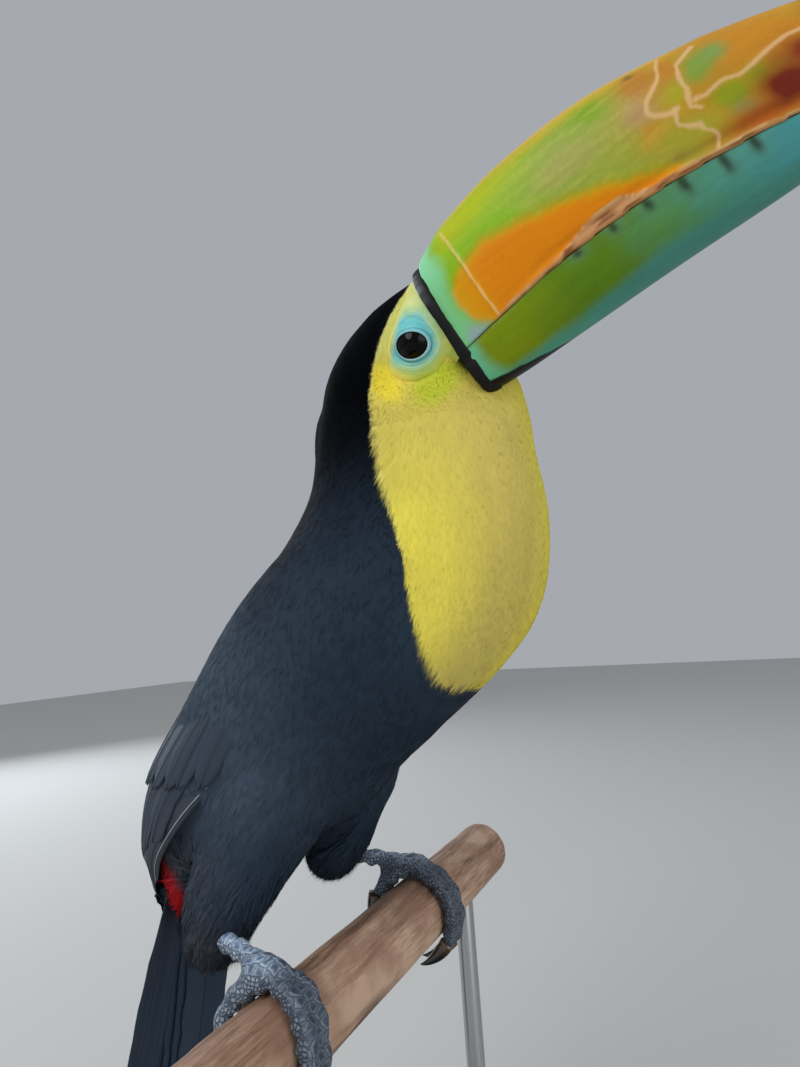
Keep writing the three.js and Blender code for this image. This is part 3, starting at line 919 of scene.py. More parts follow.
@dataclass(frozen=True)
class WoodFinish:
    """Bare weathered wood with its grain along Y, stained in places, with one dark knot."""

    name: str = "bare_wood"
    pale: Triple = (206, 172, 146)
    brown: Triple = (172, 136, 112)
    dark: Triple = (112, 84, 66)
    stain: Triple = (150, 112, 90)
    knot_colour: Triple = (96, 74, 64)
    knot: Triple = (24.0, -20.0, 151.0)

    def make(self) -> Material:
        """Makes the material."""
        material, tree, shader = new_material(self.name)
        place = place_of(tree)
        middle = mapped(tree, place, Location=tuple(-PERCH_MIDDLE * MM))
        long = mapped(tree, middle, Scale=(1.0, 0.07, 1.0))
        fibre = grain(tree, long, 1300.0, 7.0, Roughness=0.7)
        broad = grain(tree, long, 120.0, 4.0, Distortion=0.6)
        blotch = grain(tree, middle, 60.0, 3.0)
        ramp = add_node(tree, "ValToRGB", {"Fac": times_plus(tree, fibre, 0.75, broad)})
        low, high = ramp.color_ramp.elements
        low.position, low.color = 0.68, rgba(self.dark)
        high.position, high.color = 1.0, rgba(self.pale)
        ramp.color_ramp.elements.new(0.84).color = rgba(self.brown)
        share = add_node(tree, "MapRange", {"Value": blotch, "From Min": 0.45, "From Max": 0.75})
        stained = blend(tree, share.outputs[0], ramp.outputs["Color"], rgba(self.stain))
        knot = mapped(tree, place, Location=tuple(-np.array(self.knot) * MM))
        oval = mapped(tree, knot, Scale=(1.0, 0.55, 1.0))
        away = add_node(tree, "VectorMath", {"0": oval}, operation="LENGTH")
        wavy = times_plus(tree, broad, 0.006, away.outputs["Value"])
        inputs = {"Value": wavy, "From Min": 0.011, "From Max": 0.005, "To Max": 0.7}
        inside = add_node(tree, "MapRange", inputs)
        final = blend(tree, inside.outputs[0], stained, rgba(self.knot_colour))
        roughen(tree, shader, fibre, 0.25)
        fill(tree, shader, {"Base Color": final, "Roughness": 0.72})
        return material


Finish = TintFinish | PlainFinish | ScaleFinish | WoodFinish

PLUME = TintFinish("plume", 0.6, specular=0.14, barbs=0.5)
DOWN = TintFinish("soft_plumage", 0.85, specular=0.04)
HIDE = TintFinish("hide", 0.8, specular=0.1)
FACE = TintFinish("face_skin", 0.45, specular=0.35, bump_size=0.7, bump_height=0.1)
HORN = TintFinish("bill_horn", 0.45, specular=0.16, bump_size=1.1, bump_height=0.05)
BAND = TintFinish("bill_band_black", 0.6, specular=0.2)
EYE = TintFinish("wet_eye", 0.04, specular=0.13)
CLAW = TintFinish("claw_horn", 0.25, specular=0.6, coat=0.5)
STAND = PlainFinish("satin_black_paint", (44, 45, 48), 0.42)
STEEL = PlainFinish("brushed_steel", (176, 178, 180), 0.3, metallic=1.0)


# ---- skin


@dataclass
class Skin:
    """The one skin under the plumage, with the bare legs and the bare face."""

    voxel: float = 1.4
    leg_voxel: float = 0.56
    head_depth: float = 0.8
    body_depth: float = 1.2
    wing_depth: float = 4.2
    leg_nodes: tuple[str, ...] = ("tarsus", "foot", *(f"toe_{toe}" for toe in TOES))
    ground: Ground | None = None

    def copy_of(self, names: list[str], name: str, swell: float) -> Object:
        """Joins merged copies of nodes.

        Args:
            names: the nodes.
            name: the new object's name.
            swell: how far each copy's surface is moved out, so that they run into each other.

        Returns:
            The joined copy.
        """
        copies = []
        for node in names:
            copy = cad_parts[node].copy()
            copy.data = copy.data.copy()
            copy.data.materials.clear()
            for key in list(copy.keys()):
                del copy[key]
            copy.parent = None
            bpy.context.scene.collection.objects.link(copy)
            copies.append(copy)
        select(*copies)
        bpy.ops.object.join()
        obj = copies[0]
        obj.name = name
        bpy.ops.object.mode_set(mode="EDIT")
        bpy.ops.mesh.select_all(action="SELECT")
        bpy.ops.mesh.remove_doubles(threshold=1e-6)
        close_edit()
        apply_modifier(obj, "DISPLACE", strength=swell * MM, mid_level=0.0)
        return obj

    def body(self) -> Object:
        """The skin of head, neck, trunk, wings, thighs and tail root, inside the coat's depth."""
        names = ["head", "eye_left", "eye_right", "neck", "trunk", "tail_coverts_over", "tail_coverts_under"]
        obj = self.copy_of(names + both("wing", "thigh"), "skin", 0.35)
        apply_modifier(obj, "REMESH", mode="VOXEL", voxel_size=self.voxel * MM)
        even_out(obj, 12)
        self.melt(obj)
        points, normals = points_of(obj), read(obj, "normal")
        depth = self.smoothed(obj, self.depth(points), 14)
        set_points(obj, points - normals * (depth + 0.2 - self.folds(points))[:, None])
        even_out(obj, 4)
        return obj

    def melt(self, obj: Object) -> None:
        """Runs the wings' front edges into the neck, breast and flanks."""
        points = points_of(obj)
        x, _, z = (points - PERCH_MIDDLE).T
        share = smooth(62, 78, z) * smooth(176, 162, z) * smooth(-70, -52, x)
        even = np.stack([self.smoothed(obj, points[:, k], 90) for k in range(3)], 1)
        set_points(obj, points + (even - points) * share[:, None])

    def depth(self, points: Array) -> Array:
        """How far under the coat's surface the skin lies."""
        head = HEAD.to_head(points)
        depth = np.full(len(points), self.body_depth)
        depth[Wings().covers(points, 7.4, 4.2)] = self.wing_depth
        depth[on_head(head, -66, 31)] = self.head_depth
        return depth + 3.6 * smooth(7.5, 1.5, STRAP.away(points)) * smooth(-12, -20, head[:, 1])

    @staticmethod
    def folds(points: Array) -> Array:
        """Soft folds that run down the neck, breast and flanks."""
        head = HEAD.to_head(points)
        x, y, z = (points - PERCH_MIDDLE).T
        share = smooth(198, 180, z) * smooth(0, 20, z) * smooth(4, -6, head[:, 0])
        above = (z - 64.8 - 0.69 * x) / 1.215
        ends = smooth(10, -4, x) * smooth(-48, -38, x) * smooth(24, 32, np.abs(y))
        flank = 1.1 * smooth(-2.0, 1.5, above) * smooth(26, 4, above) * ends
        broad, fine = noise(points * [1, 1, 0.22], 11, 71, 2), noise(points * [1, 1, 0.3], 4.5, 72)
        return flank + share * (0.55 * broad + 0.22 * fine)

    @staticmethod
    def smoothed(obj: Object, values: Array, rounds: int) -> Array:
        """Values evened out over the mesh's edges."""
        edges = np.empty(len(obj.data.edges) * 2, np.int32)
        obj.data.edges.foreach_get("vertices", edges)
        a, b = edges.reshape(-1, 2).T
        count = np.bincount(a, minlength=len(values)) + np.bincount(b, minlength=len(values)) + 1.0
        for _ in range(rounds):
            total = values + np.bincount(a, values[b], len(values)) + np.bincount(b, values[a], len(values))
            values = total / count
        return values

    def open_eyes(self, obj: Object) -> None:
        """Pushes the skin in behind each eye."""
        points = points_of(obj)
        for side, sign in SIDES.items():
            eye = HEAD.to_head(eye_centre(side))
            head = HEAD.to_head(points)
            away = np.hypot(head[:, 0] - eye[0], head[:, 1] - eye[1])
            near = (head[:, 2] * -sign > 7) & (head[:, 0] > -40)
            bare = MARKINGS.bare_face(points[near])
            head[near, 2] += sign * (7.0 * smooth(7.6, 4.6, away[near]) + 2.2 * smooth(1.6, 3.8, bare))
            points[near] = HEAD.to_part(head[near])
        set_points(obj, points)

    def legs(self) -> Object:
        """The bare skin of the shanks, feet and toes."""
        obj = self.copy_of(both(*self.leg_nodes), "legs", 1.8)
        apply_modifier(obj, "REMESH", mode="VOXEL", voxel_size=self.leg_voxel * 1.5 * MM)
        even_out(obj, 6)
        apply_modifier(obj, "DISPLACE", strength=-1.75 * MM, mid_level=0.0)
        apply_modifier(obj, "REMESH", mode="VOXEL", voxel_size=self.leg_voxel * MM)
        even_out(obj, 6)
        points, normals = points_of(obj), read(obj, "normal")
        polar = points - PERCH_MIDDLE
        turned = smooth(74, -38, np.degrees(np.arctan2(polar[:, 2], polar[:, 0])))
        middle = np.where(polar[:, 1] > 0, 36.5, -52 - 9 * turned)
        polar[:, 1] = middle + (polar[:, 1] - middle) * 0.88
        points = polar + PERCH_MIDDLE
        angle = np.arctan2(polar[:, 2], polar[:, 0])
        radius = np.hypot(polar[:, 0], polar[:, 2])
        on_toe = radius < PERCH_RADIUS + 8.5
        along = np.where(on_toe, angle * (PERCH_RADIUS + 3.5), polar[:, 0] * 0.94)
        outward = polar * [1, 0, 1] / np.maximum(radius, 1)[:, None]
        top = np.where(on_toe, (normals * outward).sum(1), normals[:, 2])
        knuckle = 0.3 * np.cos(along * WAVE / 7.4) * smooth(-0.2, 0.6, top)
        lift = 0.24 * noise(points, 1.9, 4, 2) + 0.16 * noise(points, 0.9, 6) * smooth(0.5, 0.0, top)
        pads = (0.45 * np.cos(along * WAVE / 5.6) + 0.2 * noise(points, 0.8, 7)) * smooth(0.0, -0.7, top)
        set_points(obj, points + normals * (knuckle + lift + pads)[:, None])
        put(obj.data, "vane", np.stack([polar[:, 1], along, top], 1))
        # painted shade: darker below the tarsus, darker still where the toes grip the perch, and darker on
        # the far foot; the noise is random tone
        shade = 0.4 + 0.6 * smooth(16, 24, polar[:, 2])
        near = smooth(9.5, 6.5, radius - PERCH_RADIUS) * smooth(-6, 6, polar[:, 0])
        shade = shade * (1 - 0.42 * near)
        shade = shade * (1 - 0.22 * smooth(-10, 20, polar[:, 1]))
        paint(obj.data, "tint", shade[:, None] * (1 + 0.25 * noise(points, 2.4, 8, 2))[:, None] * np.ones(3))
        return obj

    def make(self) -> None:
        """Builds the whole skin and keeps its surface for the coat."""
        body = self.body()
        self.open_eyes(body)
        self.ground = Ground(body)
        points = points_of(body)
        paint(body.data, "tint", MARKINGS.colour(points) * 0.95)
        put(body.data, "vane", np.zeros((len(points), 3)))
        body.data.materials.append(HIDE.make())
        legs = self.legs()
        legs.data.materials.append(ScaleFinish().make())
        solid = Ground(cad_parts["head"])
        faces = [Face(side).make(solid) for side in SIDES]
        for obj in (body, legs):
            obj.data.polygons.foreach_set("use_smooth", np.ones(len(obj.data.polygons), bool))
        select(body, legs, *faces)
        bpy.ops.object.join()
        flesh = ["head", "neck", "trunk", "tail_coverts_over", "tail_coverts_under"]
        settle(body, Slot.BLACK, *flesh, *both("wing", "thigh", *self.leg_nodes))


def eye_centre(side: str) -> Array:
    """The middle of an eye, from its node."""
    low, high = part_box(f"eye_{side}")
    return np.array((low + high) / 2) / MM


@dataclass
class Face:
    """The bare skin round one eye: lid, beaded ring and folds, out to the edge of the feathers."""

    side: str
    around: int = 160
    out_steps: int = 56
    back_steps: int = 9
    opening: Pair = (5.2, 4.1)
    beads: int = 44

    def make(self, ground: Ground) -> Object:
        """Builds the face's sheet over the skin.

        Args:
            ground: the head's solid.

        Returns:
            The sheet as an object.
        """
        sign = SIDES[self.side]
        eye = HEAD.to_head(eye_centre(self.side))
        theta = np.linspace(0, 2 * np.pi, self.around, endpoint=False)
        inner = self.opening[0] * self.opening[1] / np.hypot(
            self.opening[1] * np.cos(theta + 0.45), self.opening[0] * np.sin(theta + 0.45)
        )
        outer = self.reach(theta, eye)
        f = np.linspace(0, 1, self.out_steps)[:, None] ** 1.35
        r = inner + (outer - inner) * f
        flat = np.stack([eye[0] + r * np.cos(theta), eye[1] + r * np.sin(theta)], -1).reshape(-1, 2)
        away, round_ = r.ravel(), np.tile(theta, self.out_steps)
        edge = away - np.tile(inner, self.out_steps)
        skin = self.cheek(ground, flat, away, sign) - 0.2
        rim = np.tile(outer, self.out_steps) - away
        skin -= 0.75 * smooth(2.5, 6.0, edge) + 1.1 * smooth(4.4, 0.6, rim) * smooth(-1.0, -2.5, flat[:, 0])
        ball = abs(eye[2]) + np.sqrt(np.maximum(EYE_RADIUS**2 - away**2, 0.5))
        out = mix(ball[:, None], skin[:, None], smooth(0.2, 3.2, edge))[:, 0]
        bulge = abs(eye[2]) + np.sqrt(np.maximum(EYE_RADIUS**2 - away**2, 0))
        floor_ = np.where(away < EYE_RADIUS, bulge, 0).reshape(self.out_steps, self.around)
        grid = np.maximum(out.reshape(floor_.shape), floor_)
        loose = edge.reshape(floor_.shape) > 0.9
        for _ in range(14):
            even = (np.roll(grid, 1, 1) + np.roll(grid, -1, 1) + 2 * grid) / 4
            even[1:-1] = (even[:-2] + even[2:] + 2 * even[1:-1]) / 4
            grid = np.where(loose, np.maximum(even, floor_), grid)
        out = grid.ravel()
        lower = smooth(0.3, -0.9, np.sin(round_))
        on_ring = smooth(0.15, 0.4, edge) * smooth(0.95, 0.7, edge)
        beads = np.cos(round_ * self.beads) * 0.07 * on_ring * (0.25 + lower)
        ring = 0.5 * bell(edge - 0.45, 0.33) - 0.22 * bell(edge - 1.1, 0.2)
        waves = np.sin(edge * WAVE / 0.9 + 0.8 * np.sin(round_ * 3))
        folds = 0.05 * waves * smooth(1.5, 2.4, edge) * smooth(8, 3.0, edge)
        place = HEAD.to_part(np.column_stack([flat, np.zeros(len(flat))]))
        rumple = 0.12 * noise(place, 1.5, 3, 3) * smooth(2.2, 4.5, edge)
        second = 0.28 * bell(edge - 1.9, 0.5) * (0.5 + lower)
        out = out + ring + beads + folds + rumple + second + 0.25
        points = HEAD.to_part(np.column_stack([flat, -sign * out]))
        inward = HEAD.right * sign * 1.4
        tint = self.colour(edge, round_, place)
        # painted shade: towards the feathered rim the skin takes the plumage colour, darkened to the coat's
        # shade
        feathered = smooth(6.0, 2.4, rim) * smooth(-1.0, -3.0, flat[:, 0])
        tint = mix(tint, MARKINGS.colour(points) * 0.93, feathered)
        rows = np.linspace(self.out_steps - 1, 0, self.back_steps).astype(int)
        grid = lambda values: values.reshape(self.out_steps, self.around, 3)[rows].reshape(-1, 3)
        points = np.concatenate([points, grid(points) + inward])
        tint = np.concatenate([tint, grid(tint)])
        faces = lathe_faces(self.out_steps + self.back_steps, self.around, wrapped=True)
        sheet = Sheet(points, faces[:, ::-1] if sign < 0 else faces, tint, vane=np.zeros_like(points))
        obj = sheet.build(f"face_{self.side}")
        obj.data.materials.append(FACE.make())
        return obj

    def cheek(self, ground: Ground, flat: Array, away: Array, sign: float) -> Array:
        """How far out the head's even surface lies at each place.

        Args:
            ground: the head's solid.
            flat: places as (along, up).
            away: distance from the eye's middle.
            sign: the face's side.

        Returns:
            One distance for each place.
        """
        along = np.minimum(flat[:, 0], -0.5)
        starts = HEAD.to_part(np.column_stack([along, flat[:, 1], np.full(len(flat), -sign * 45.0)]))
        found = HEAD.to_head(ground.hit(starts, HEAD.right * sign))
        found = np.abs(found[:, 2]).reshape(self.out_steps, self.around)
        clear = np.argmax(away.reshape(found.shape)[:, 0] > 6.3)
        found[:clear] = found[clear]
        for _ in range(26):
            found = (np.roll(found, 1, 1) + np.roll(found, -1, 1) + 2 * found) / 4
            found[1:-1] = (found[:-2] + found[2:] + 2 * found[1:-1]) / 4
        return found.ravel()

    @staticmethod
    def reach(theta: Array, eye: Array) -> Array:
        """How far the bare skin runs from the eye in each direction, with a rim under the feathers."""
        steps = np.linspace(5.5, 19, 160)
        along = eye[0] + steps[:, None] * np.cos(theta)
        up = eye[1] + steps[:, None] * np.sin(theta)
        flat = np.stack([along, up, np.full_like(up, 20.0)], -1).reshape(-1, 3)
        inside = MARKINGS.bare_face(HEAD.to_part(flat)).reshape(along.shape) > -1.6
        outside = np.where(inside.all(0), len(steps) - 1, np.argmin(inside, 0))
        reach = steps[outside]
        for _ in range(6):
            reach = (np.roll(reach, 1) + reach * 2 + np.roll(reach, -1)) / 4
        return reach

    def colour(self, edge: Array, round_: Array, place: Array) -> Array:
        """Colour of the bare skin from the lid outwards."""
        upward, forward = np.sin(round_), np.cos(round_)
        blotch = noise(place, 2.2, 8, 2)
        far = edge + 0.7 * blotch
        turquoise = mix(srgb(96, 184, 192), srgb(112, 200, 200), smooth(-0.2, 0.9, upward))
        green = overlay(
            srgb(222, 222, 112),
            ((170, 206, 132), smooth(-0.1, 0.8, forward) * smooth(-0.7, 0.2, upward)),
            ((220, 228, 146), smooth(0.45, 0.95, upward)),
            ((240, 234, 132), smooth(0.2, 0.9, -forward) * smooth(-0.6, 0.1, upward)),
            ((196, 212, 92), smooth(-0.3, -0.9, upward)),
            ((244, 226, 84), smooth(3.5, 7.5, far) * smooth(-0.5, -0.9, forward)),
        )
        limit = 3.6 + 2.6 * smooth(0.0, 0.9, upward) - 0.3 * smooth(0.2, -0.9, upward)
        colour = mix(turquoise, srgb(172, 210, 150), smooth(-2.6, 0.6, far - limit))
        colour = mix(colour, green, smooth(-0.6, 2.8, far - limit))
        fleck = smooth(0.25, 0.6, noise(place, 0.8, 6, 2)) * smooth(0.3, 0.9, forward)
        fleck = fleck * smooth(0.2, -0.6, upward) * smooth(2.5, 4.5, edge)
        # painted shade: a darker teal line in the groove just outside the lid ring
        groove_shade = bell(edge - 1.1, 0.16)
        colour = overlay(colour, ((120, 130, 40), 0.6 * fleck), ((58, 124, 140), 0.7 * groove_shade))
        bead = smooth(0.1, -0.8, upward) * (0.5 + 0.5 * np.cos(round_ * self.beads))
        ring = mix(srgb(134, 198, 206), srgb(198, 228, 230), bead)
        colour = mix(colour, ring, smooth(1.0, 0.8, edge))
        return mix(colour, srgb(22, 30, 36), smooth(0.2, 0.08, edge))


# ---- coat


@dataclass(frozen=True)
class Tuft:
    """One size of small feather with a frayed tip."""

    spacing: float
    length: float
    width: float
    lift: float
    arch: float = 0.1
    stray: float = 0.12
    streak: float = 0.08
    shade: float = 0.1
    point: float = 0.8
    seed: int = 1
    rows: Table = ((0.0, -0.25), (0.3, 0.5), (0.58, 0.85), (1.0, 1.0))
    triangles: Table = (
        (0, 1, 3), (0, 3, 2), (1, 4, 3), (2, 6, 5), (2, 3, 6), (3, 7, 6), (3, 8, 7), (3, 4, 8), (4, 9, 8),
        (5, 6, 10), (6, 7, 11), (7, 8, 12), (8, 9, 13),
    )

    @property
    def across(self) -> Table:
        """Where the points of each row lie, from -1 to 1."""
        tip = self.point
        return (-0.4, 0.4), (-0.95, 0, 0.95), (-1, -0.5, 0, 0.5, 1), (-tip, -0.35 * tip, 0.35 * tip, tip)

    def grow(self, ground: Ground, roots: Array, normals: Array) -> Sheet:
        """Grows one tuft at each root, lying along the surface.

        Args:
            ground: the skin.
            roots: the roots' places.
            normals: the skin's normals there.

        Returns:
            One sheet of all the tufts.
        """
        rng = np.random.default_rng(self.seed)
        n = len(roots)
        lie = FLOW.at(roots, normals)
        side = np.cross(normals, lie)
        swing = rng.normal(0, self.stray, n)
        lie = unit(lie + side * swing[:, None])
        length = self.length * rng.uniform(0.8, 1.2, n)
        width = self.width * rng.uniform(0.85, 1.15, n)
        lift = self.lift * rng.uniform(0.75, 1.15, n)
        near_bill = smooth(1, -13, HEAD.to_head(roots)[:, 0]) * smooth(0, 7, STRAP.away(roots))
        lift = lift * (0.12 + 0.88 * near_bill)
        length = length * (0.45 + 0.55 * near_bill)
        if self.lift > 1:
            lift = lift * (0.12 + 0.88 * smooth(52, 24, roots[:, 2] - PERCH_MIDDLE[2]))
        rim = smooth(5.5, 0.5, np.abs(MARKINGS.bib(roots))) * smooth(96, 128, roots[:, 2] - PERCH_MIDDLE[2])
        length, width = length * (1 - 0.66 * rim), width * (1 - 0.5 * rim)
        centres, ups, sides = [], [], []
        place, arrow = roots, lie
        for k, (t, h) in enumerate(self.rows):
            if k:
                step = length * (t - self.rows[k - 1][0])
                place, up = ground.nearest(place + arrow * step[:, None])
            else:
                up = normals
            arrow = unit(arrow - up * (arrow * up).sum(1, keepdims=True))
            centres.append(place + up * (lift * h + (0.12 if k else 0))[:, None])
            ups.append(up)
            sides.append(np.cross(up, arrow))
        common = MARKINGS.colour(roots + lie * (length * 0.75)[:, None])
        high = smooth(90, 118, roots[:, 2] - PERCH_MIDDLE[2])
        own = np.maximum(high, smooth(-42, -34, (roots - TAIL_ROOT) @ TAIL_DOWN))
        bases = [mix(common, MARKINGS.colour(c), own) for c in centres]
        points, tint, uv, over = [], [], [], []
        for row, places in enumerate(self.across):
            for x in places:
                shift = x * width / 2
                rise = self.arch * width * (1 - x * x)
                p = centres[row] + sides[row] * shift[:, None] + ups[row] * rise[:, None]
                tone = np.full(n, 1 - self.shade * (1 - self.rows[row][0]))
                if row == 3:
                    reach = rng.uniform(-0.22, 0.08, n) - 0.16 * abs(x)
                    p = p + arrow * (length * reach)[:, None]
                    p = p + sides[row] * (rng.normal(0, 0.1, n) * width)[:, None]
                    p = p + ups[row] * (rng.normal(0, 0.12, n) * lift)[:, None]
                    tone = tone * rng.uniform(1 - self.streak, 1 + self.streak, n)
                points.append(p)
                over.append(ups[row])
                tint.append(bases[row] * tone[:, None])
                uv.append((0.5 + 0.42 * x, 0.06 + 0.88 * self.rows[row][0]))
        count = len(points)
        tri = np.array(self.triangles)
        faces = (tri[None, :, ::-1] + (np.arange(n) * count)[:, None, None]).reshape(-1, 3)
        tone = rng.uniform(1 - self.streak / 2, 1 + self.streak / 2, n)
        tint = (np.stack(tint, 1) * tone[:, None, None]).reshape(-1, 3)
        patch = unwrap(roots)[:, None, :] + PATCH * (np.array(uv)[None] - 0.5)
        joined = [np.stack(part, 1).reshape(-1, 3) for part in (points, over)]
        return Sheet(joined[0], faces, tint, patch.reshape(-1, 2), ups=joined[1])


def unwrap(points: Array) -> Array:
    """The skin laid flat: the angle round the body's own axis, and the way down it, the head apart."""
    ribs = np.array(RIBCAGE.ribs, float)
    p = points - PERCH_MIDDLE
    height = (ribs[::-1, 1] + ribs[::-1, 3]) / 2
    centre = np.interp(p[:, 2], height, ((ribs[:, 0] + ribs[:, 2]) / 2)[::-1])
    u = np.arctan2(p[:, 1], p[:, 0] - centre) / WAVE + 0.5
    v = np.clip((p[:, 2] + 40) / 300, 0, 1)
    head = HEAD.to_head(points)
    is_head = on_head(head)
    u = np.where(is_head, np.arctan2(head[:, 2], head[:, 1]) / WAVE + 0.5, u)
    v = np.where(is_head, np.clip((head[:, 0] + 66) / 70, 0, 1), v)
    return np.stack([0.01 + 0.98 * u, np.where(is_head, 0.72 + 0.27 * v, 0.01 + 0.68 * v)], 1)


@dataclass
class Coat:
    """The small feathers of the head, neck, trunk, upper wings, thighs and tail root."""

    ground: Ground
    wings: "Wings"

    def regions(self) -> dict[str, tuple[Array, Tuft, Slot]]:
        """Each coat piece's triangles, tuft and slot."""
        middle = self.ground.middles
        x, y, z = (middle - PERCH_MIDDLE).T
        head = HEAD.to_head(middle)
        along = head[:, 0]
        bare = MARKINGS.bare_face(middle) > 2.2
        feathered = (along < -0.2) & ~bare
        is_head = on_head(head) & feathered
        fine = on_head(head, -26, 32) & feathered
        bib = MARKINGS.bib(middle)
        rest = ~is_head & ~bare & ((along < 3) | (z < 185))
        tail = ((middle - TAIL_ROOT) @ TAIL_DOWN > -10) & (np.abs(y) < 22)
        thigh = (np.abs(y) > 18) & (x > -62) & ~tail & (z < 49 + 7 * noise(middle, 4, 15, 2))
        under_wing = self.wings.covers(middle)
        on_wing = self.wings.covers(middle, 4.3, low=0.0)
        body = rest & ~tail & ~thigh & ~under_wing & (z < 205)
        dark = body & (bib >= 0.8)
        back = dark & ~on_wing & (z > 105)
        belly = dark & ~on_wing & (z <= 105)
        return {
            "coat_face": (
                fine, Tuft(0.6, 2.6, 0.6, 0.1, stray=0.12, streak=0.04, shade=0.03, point=0.5, seed=11),
                Slot.YELLOW,
            ),
            "coat_nape": (
                is_head & ~fine, Tuft(1.0, 6.5, 1.1, 0.3, stray=0.08, point=0.6, seed=12), Slot.BLACK,
            ),
            "coat_bib": (
                body & (bib < 2.5),
                Tuft(
                    1.05, 10.5, 1.2, 0.08, arch=0.04, stray=0.05, streak=0.07, shade=0.0, point=0.5, seed=13
                ),
                Slot.YELLOW,
            ),
            "coat_back": (
                back, Tuft(1.6, 12.0, 1.8, 0.25, arch=0.06, stray=0.07, shade=0.04, point=0.5, seed=14),
                Slot.BLACK,
            ),
            "coat_belly": (
                belly, Tuft(1.6, 15.0, 1.7, 0.35, arch=0.06, stray=0.08, shade=0.04, point=0.4, seed=15),
                Slot.BLACK,
            ),
            "coat_wings": (
                dark & on_wing,
                Tuft(
                    1.8, 15.0, 2.2, 0.35, arch=0.06, stray=0.06, streak=0.12, shade=0.06, point=0.5, seed=18
                ),
                Slot.BLACK,
            ),
            "coat_thighs": (
                thigh & (z > 4),
                Tuft(1.15, 22.0, 0.9, 3.4, arch=0.05, stray=0.17, streak=0.4, shade=0.04, point=0.2, seed=16),
                Slot.BLACK,
            ),
            "coat_tail_root": (
                tail, Tuft(1.4, 12.0, 1.6, 0.5, stray=0.1, streak=0.12, point=0.4, seed=17), Slot.RED,
            ),
        }

    def make(self) -> None:
        """Grows every coat piece."""
        for name, (keep, tuft, slot) in self.regions().items():
            roots, normals = self.ground.scatter(keep, tuft.spacing, np.random.default_rng(tuft.seed + 100))
            settle(tuft.grow(self.ground, roots, normals).build(name), slot, finish=DOWN)


# ---- large feathers


@dataclass(frozen=True)
class Plume:
    """A large feather along a path: vane with a shaft, closed and thin."""

    thick: float = 0.2
    outer: float = 1.0
    columns: tuple[float, ...] = (-1, -0.72, -0.38, -0.05, 0, 0.05, 0.38, 0.72, 1)

    def make(self, path: Array, ups: Array, half: float, shape: Array, colour: Array, shaft: Array,
             root: Array, rng: np.random.Generator, flip: bool = False) -> Sheet:
        """Builds one feather.

        Args:
            path: the shaft's places, steps by 3.
            ups: the outward direction at each step.
            half: half of the greatest width.
            shape: the share of that width at each step.
            colour: the vane's colour.
            shaft: the shaft's colour.
            root: the place of its bake patch.
            rng: the source of chance.
            flip: whether its narrow outer vane is on the first side.

        Returns:
            The feather's sheet.
        """
        along = unit(np.gradient(path, axis=0))
        side = unit(np.cross(ups, along))
        x = np.array(self.columns)
        k, m = len(path), len(x)
        length = np.concatenate([[0], np.cumsum(np.linalg.norm(np.diff(path, axis=0), axis=1))])
        notch = 1 - 0.10 * rng.random((k, 2)) * (rng.random((k, 2)) > 0.6)
        wide = half * shape[:, None] * np.where(x < 0, notch[:, :1], notch[:, 1:])
        wide = wide * np.where((x < 0) == flip, self.outer, 1)
        flat = path[:, None] + side[:, None] * (x * wide)[..., None]
        ridge = 0.22 * (np.abs(x) < 0.01) - 0.06 * (np.abs(x) == 0.05)
        rise = 0.09 * half * (1 - x**2) * shape[:, None] + ridge
        swept = -0.35 * half * np.abs(x) ** 1.5 * shape[:, None]
        top = flat + ups[:, None] * rise[..., None] + along[:, None] * (swept * 0.3)[..., None]
        bottom = top - ups[:, None] * self.thick
        points = np.concatenate([top.reshape(-1, 3), bottom.reshape(-1, 3)])
        upper = lathe_faces(k, m, closed=False)[:, ::-1]
        lower = upper[:, ::-1] + k * m
        start, right = np.arange(m), np.arange(1, k) * m + m - 1
        end, left = (k - 1) * m + np.arange(m - 2, -1, -1), np.arange(k - 2, 0, -1) * m
        rim = np.concatenate([start, right, end, left])
        after = np.roll(rim, -1)
        edge = np.stack([rim, after, after + k * m, rim + k * m], 1)
        streak = 1 + 0.10 * rng.normal(size=(k, m)).cumsum(0) * 0.3 + 0.16 * np.abs(x) ** 3
        tint = np.repeat((colour * np.clip(streak, 0.8, 1.25)[..., None])[None], 2, 0).reshape(-1, 3)
        is_shaft = np.tile(np.tile(np.abs(x) < 0.01, k), 2)
        tint[is_shaft] = shaft
        vane = np.stack([x * wide, np.broadcast_to(length[:, None], (k, m)), np.zeros((k, m))], -1)
        local = np.stack([np.tile(x * 0.5, k), np.repeat(np.linspace(-0.5, 0.5, k), m)], 1)
        patch = root + PATCH * np.concatenate([local, local * 0.9])
        return Sheet(
            points, np.concatenate([upper, lower, edge]), tint, patch,
            np.concatenate([vane.reshape(-1, 3)] * 2),
        )


def blade_shape(steps: int, root: float = 0.35, tip: float = 0.18, fullest: float = 0.45) -> Array:
    """Width of a feather along its length: narrow at the root, rounded at the tip."""
    t = np.linspace(0, 1, steps)
    rise = root + (1 - root) * smooth(0, fullest, t)
    return rise * np.sqrt(np.clip(1 - ((t - (1 - tip)) / tip).clip(0, 1) ** 2, 0.0025, 1))


@dataclass(frozen=True)
class FeatherRow:
    """One row of a wing's feathers. Places on the wing are (at, share), of the first and the last feather.

    The half widths are those of the first and last feather, the lifts those of root and tip over the wing.
    The tip is the share of the length over which a feather is rounded.
    """

    count: int
    starts: tuple[Pair, Pair]
    ends: tuple[Pair, Pair]
    half: Pair
    lift: Pair
    steps: int
    colour: Triple
    tip: float
    pale_first: bool = False


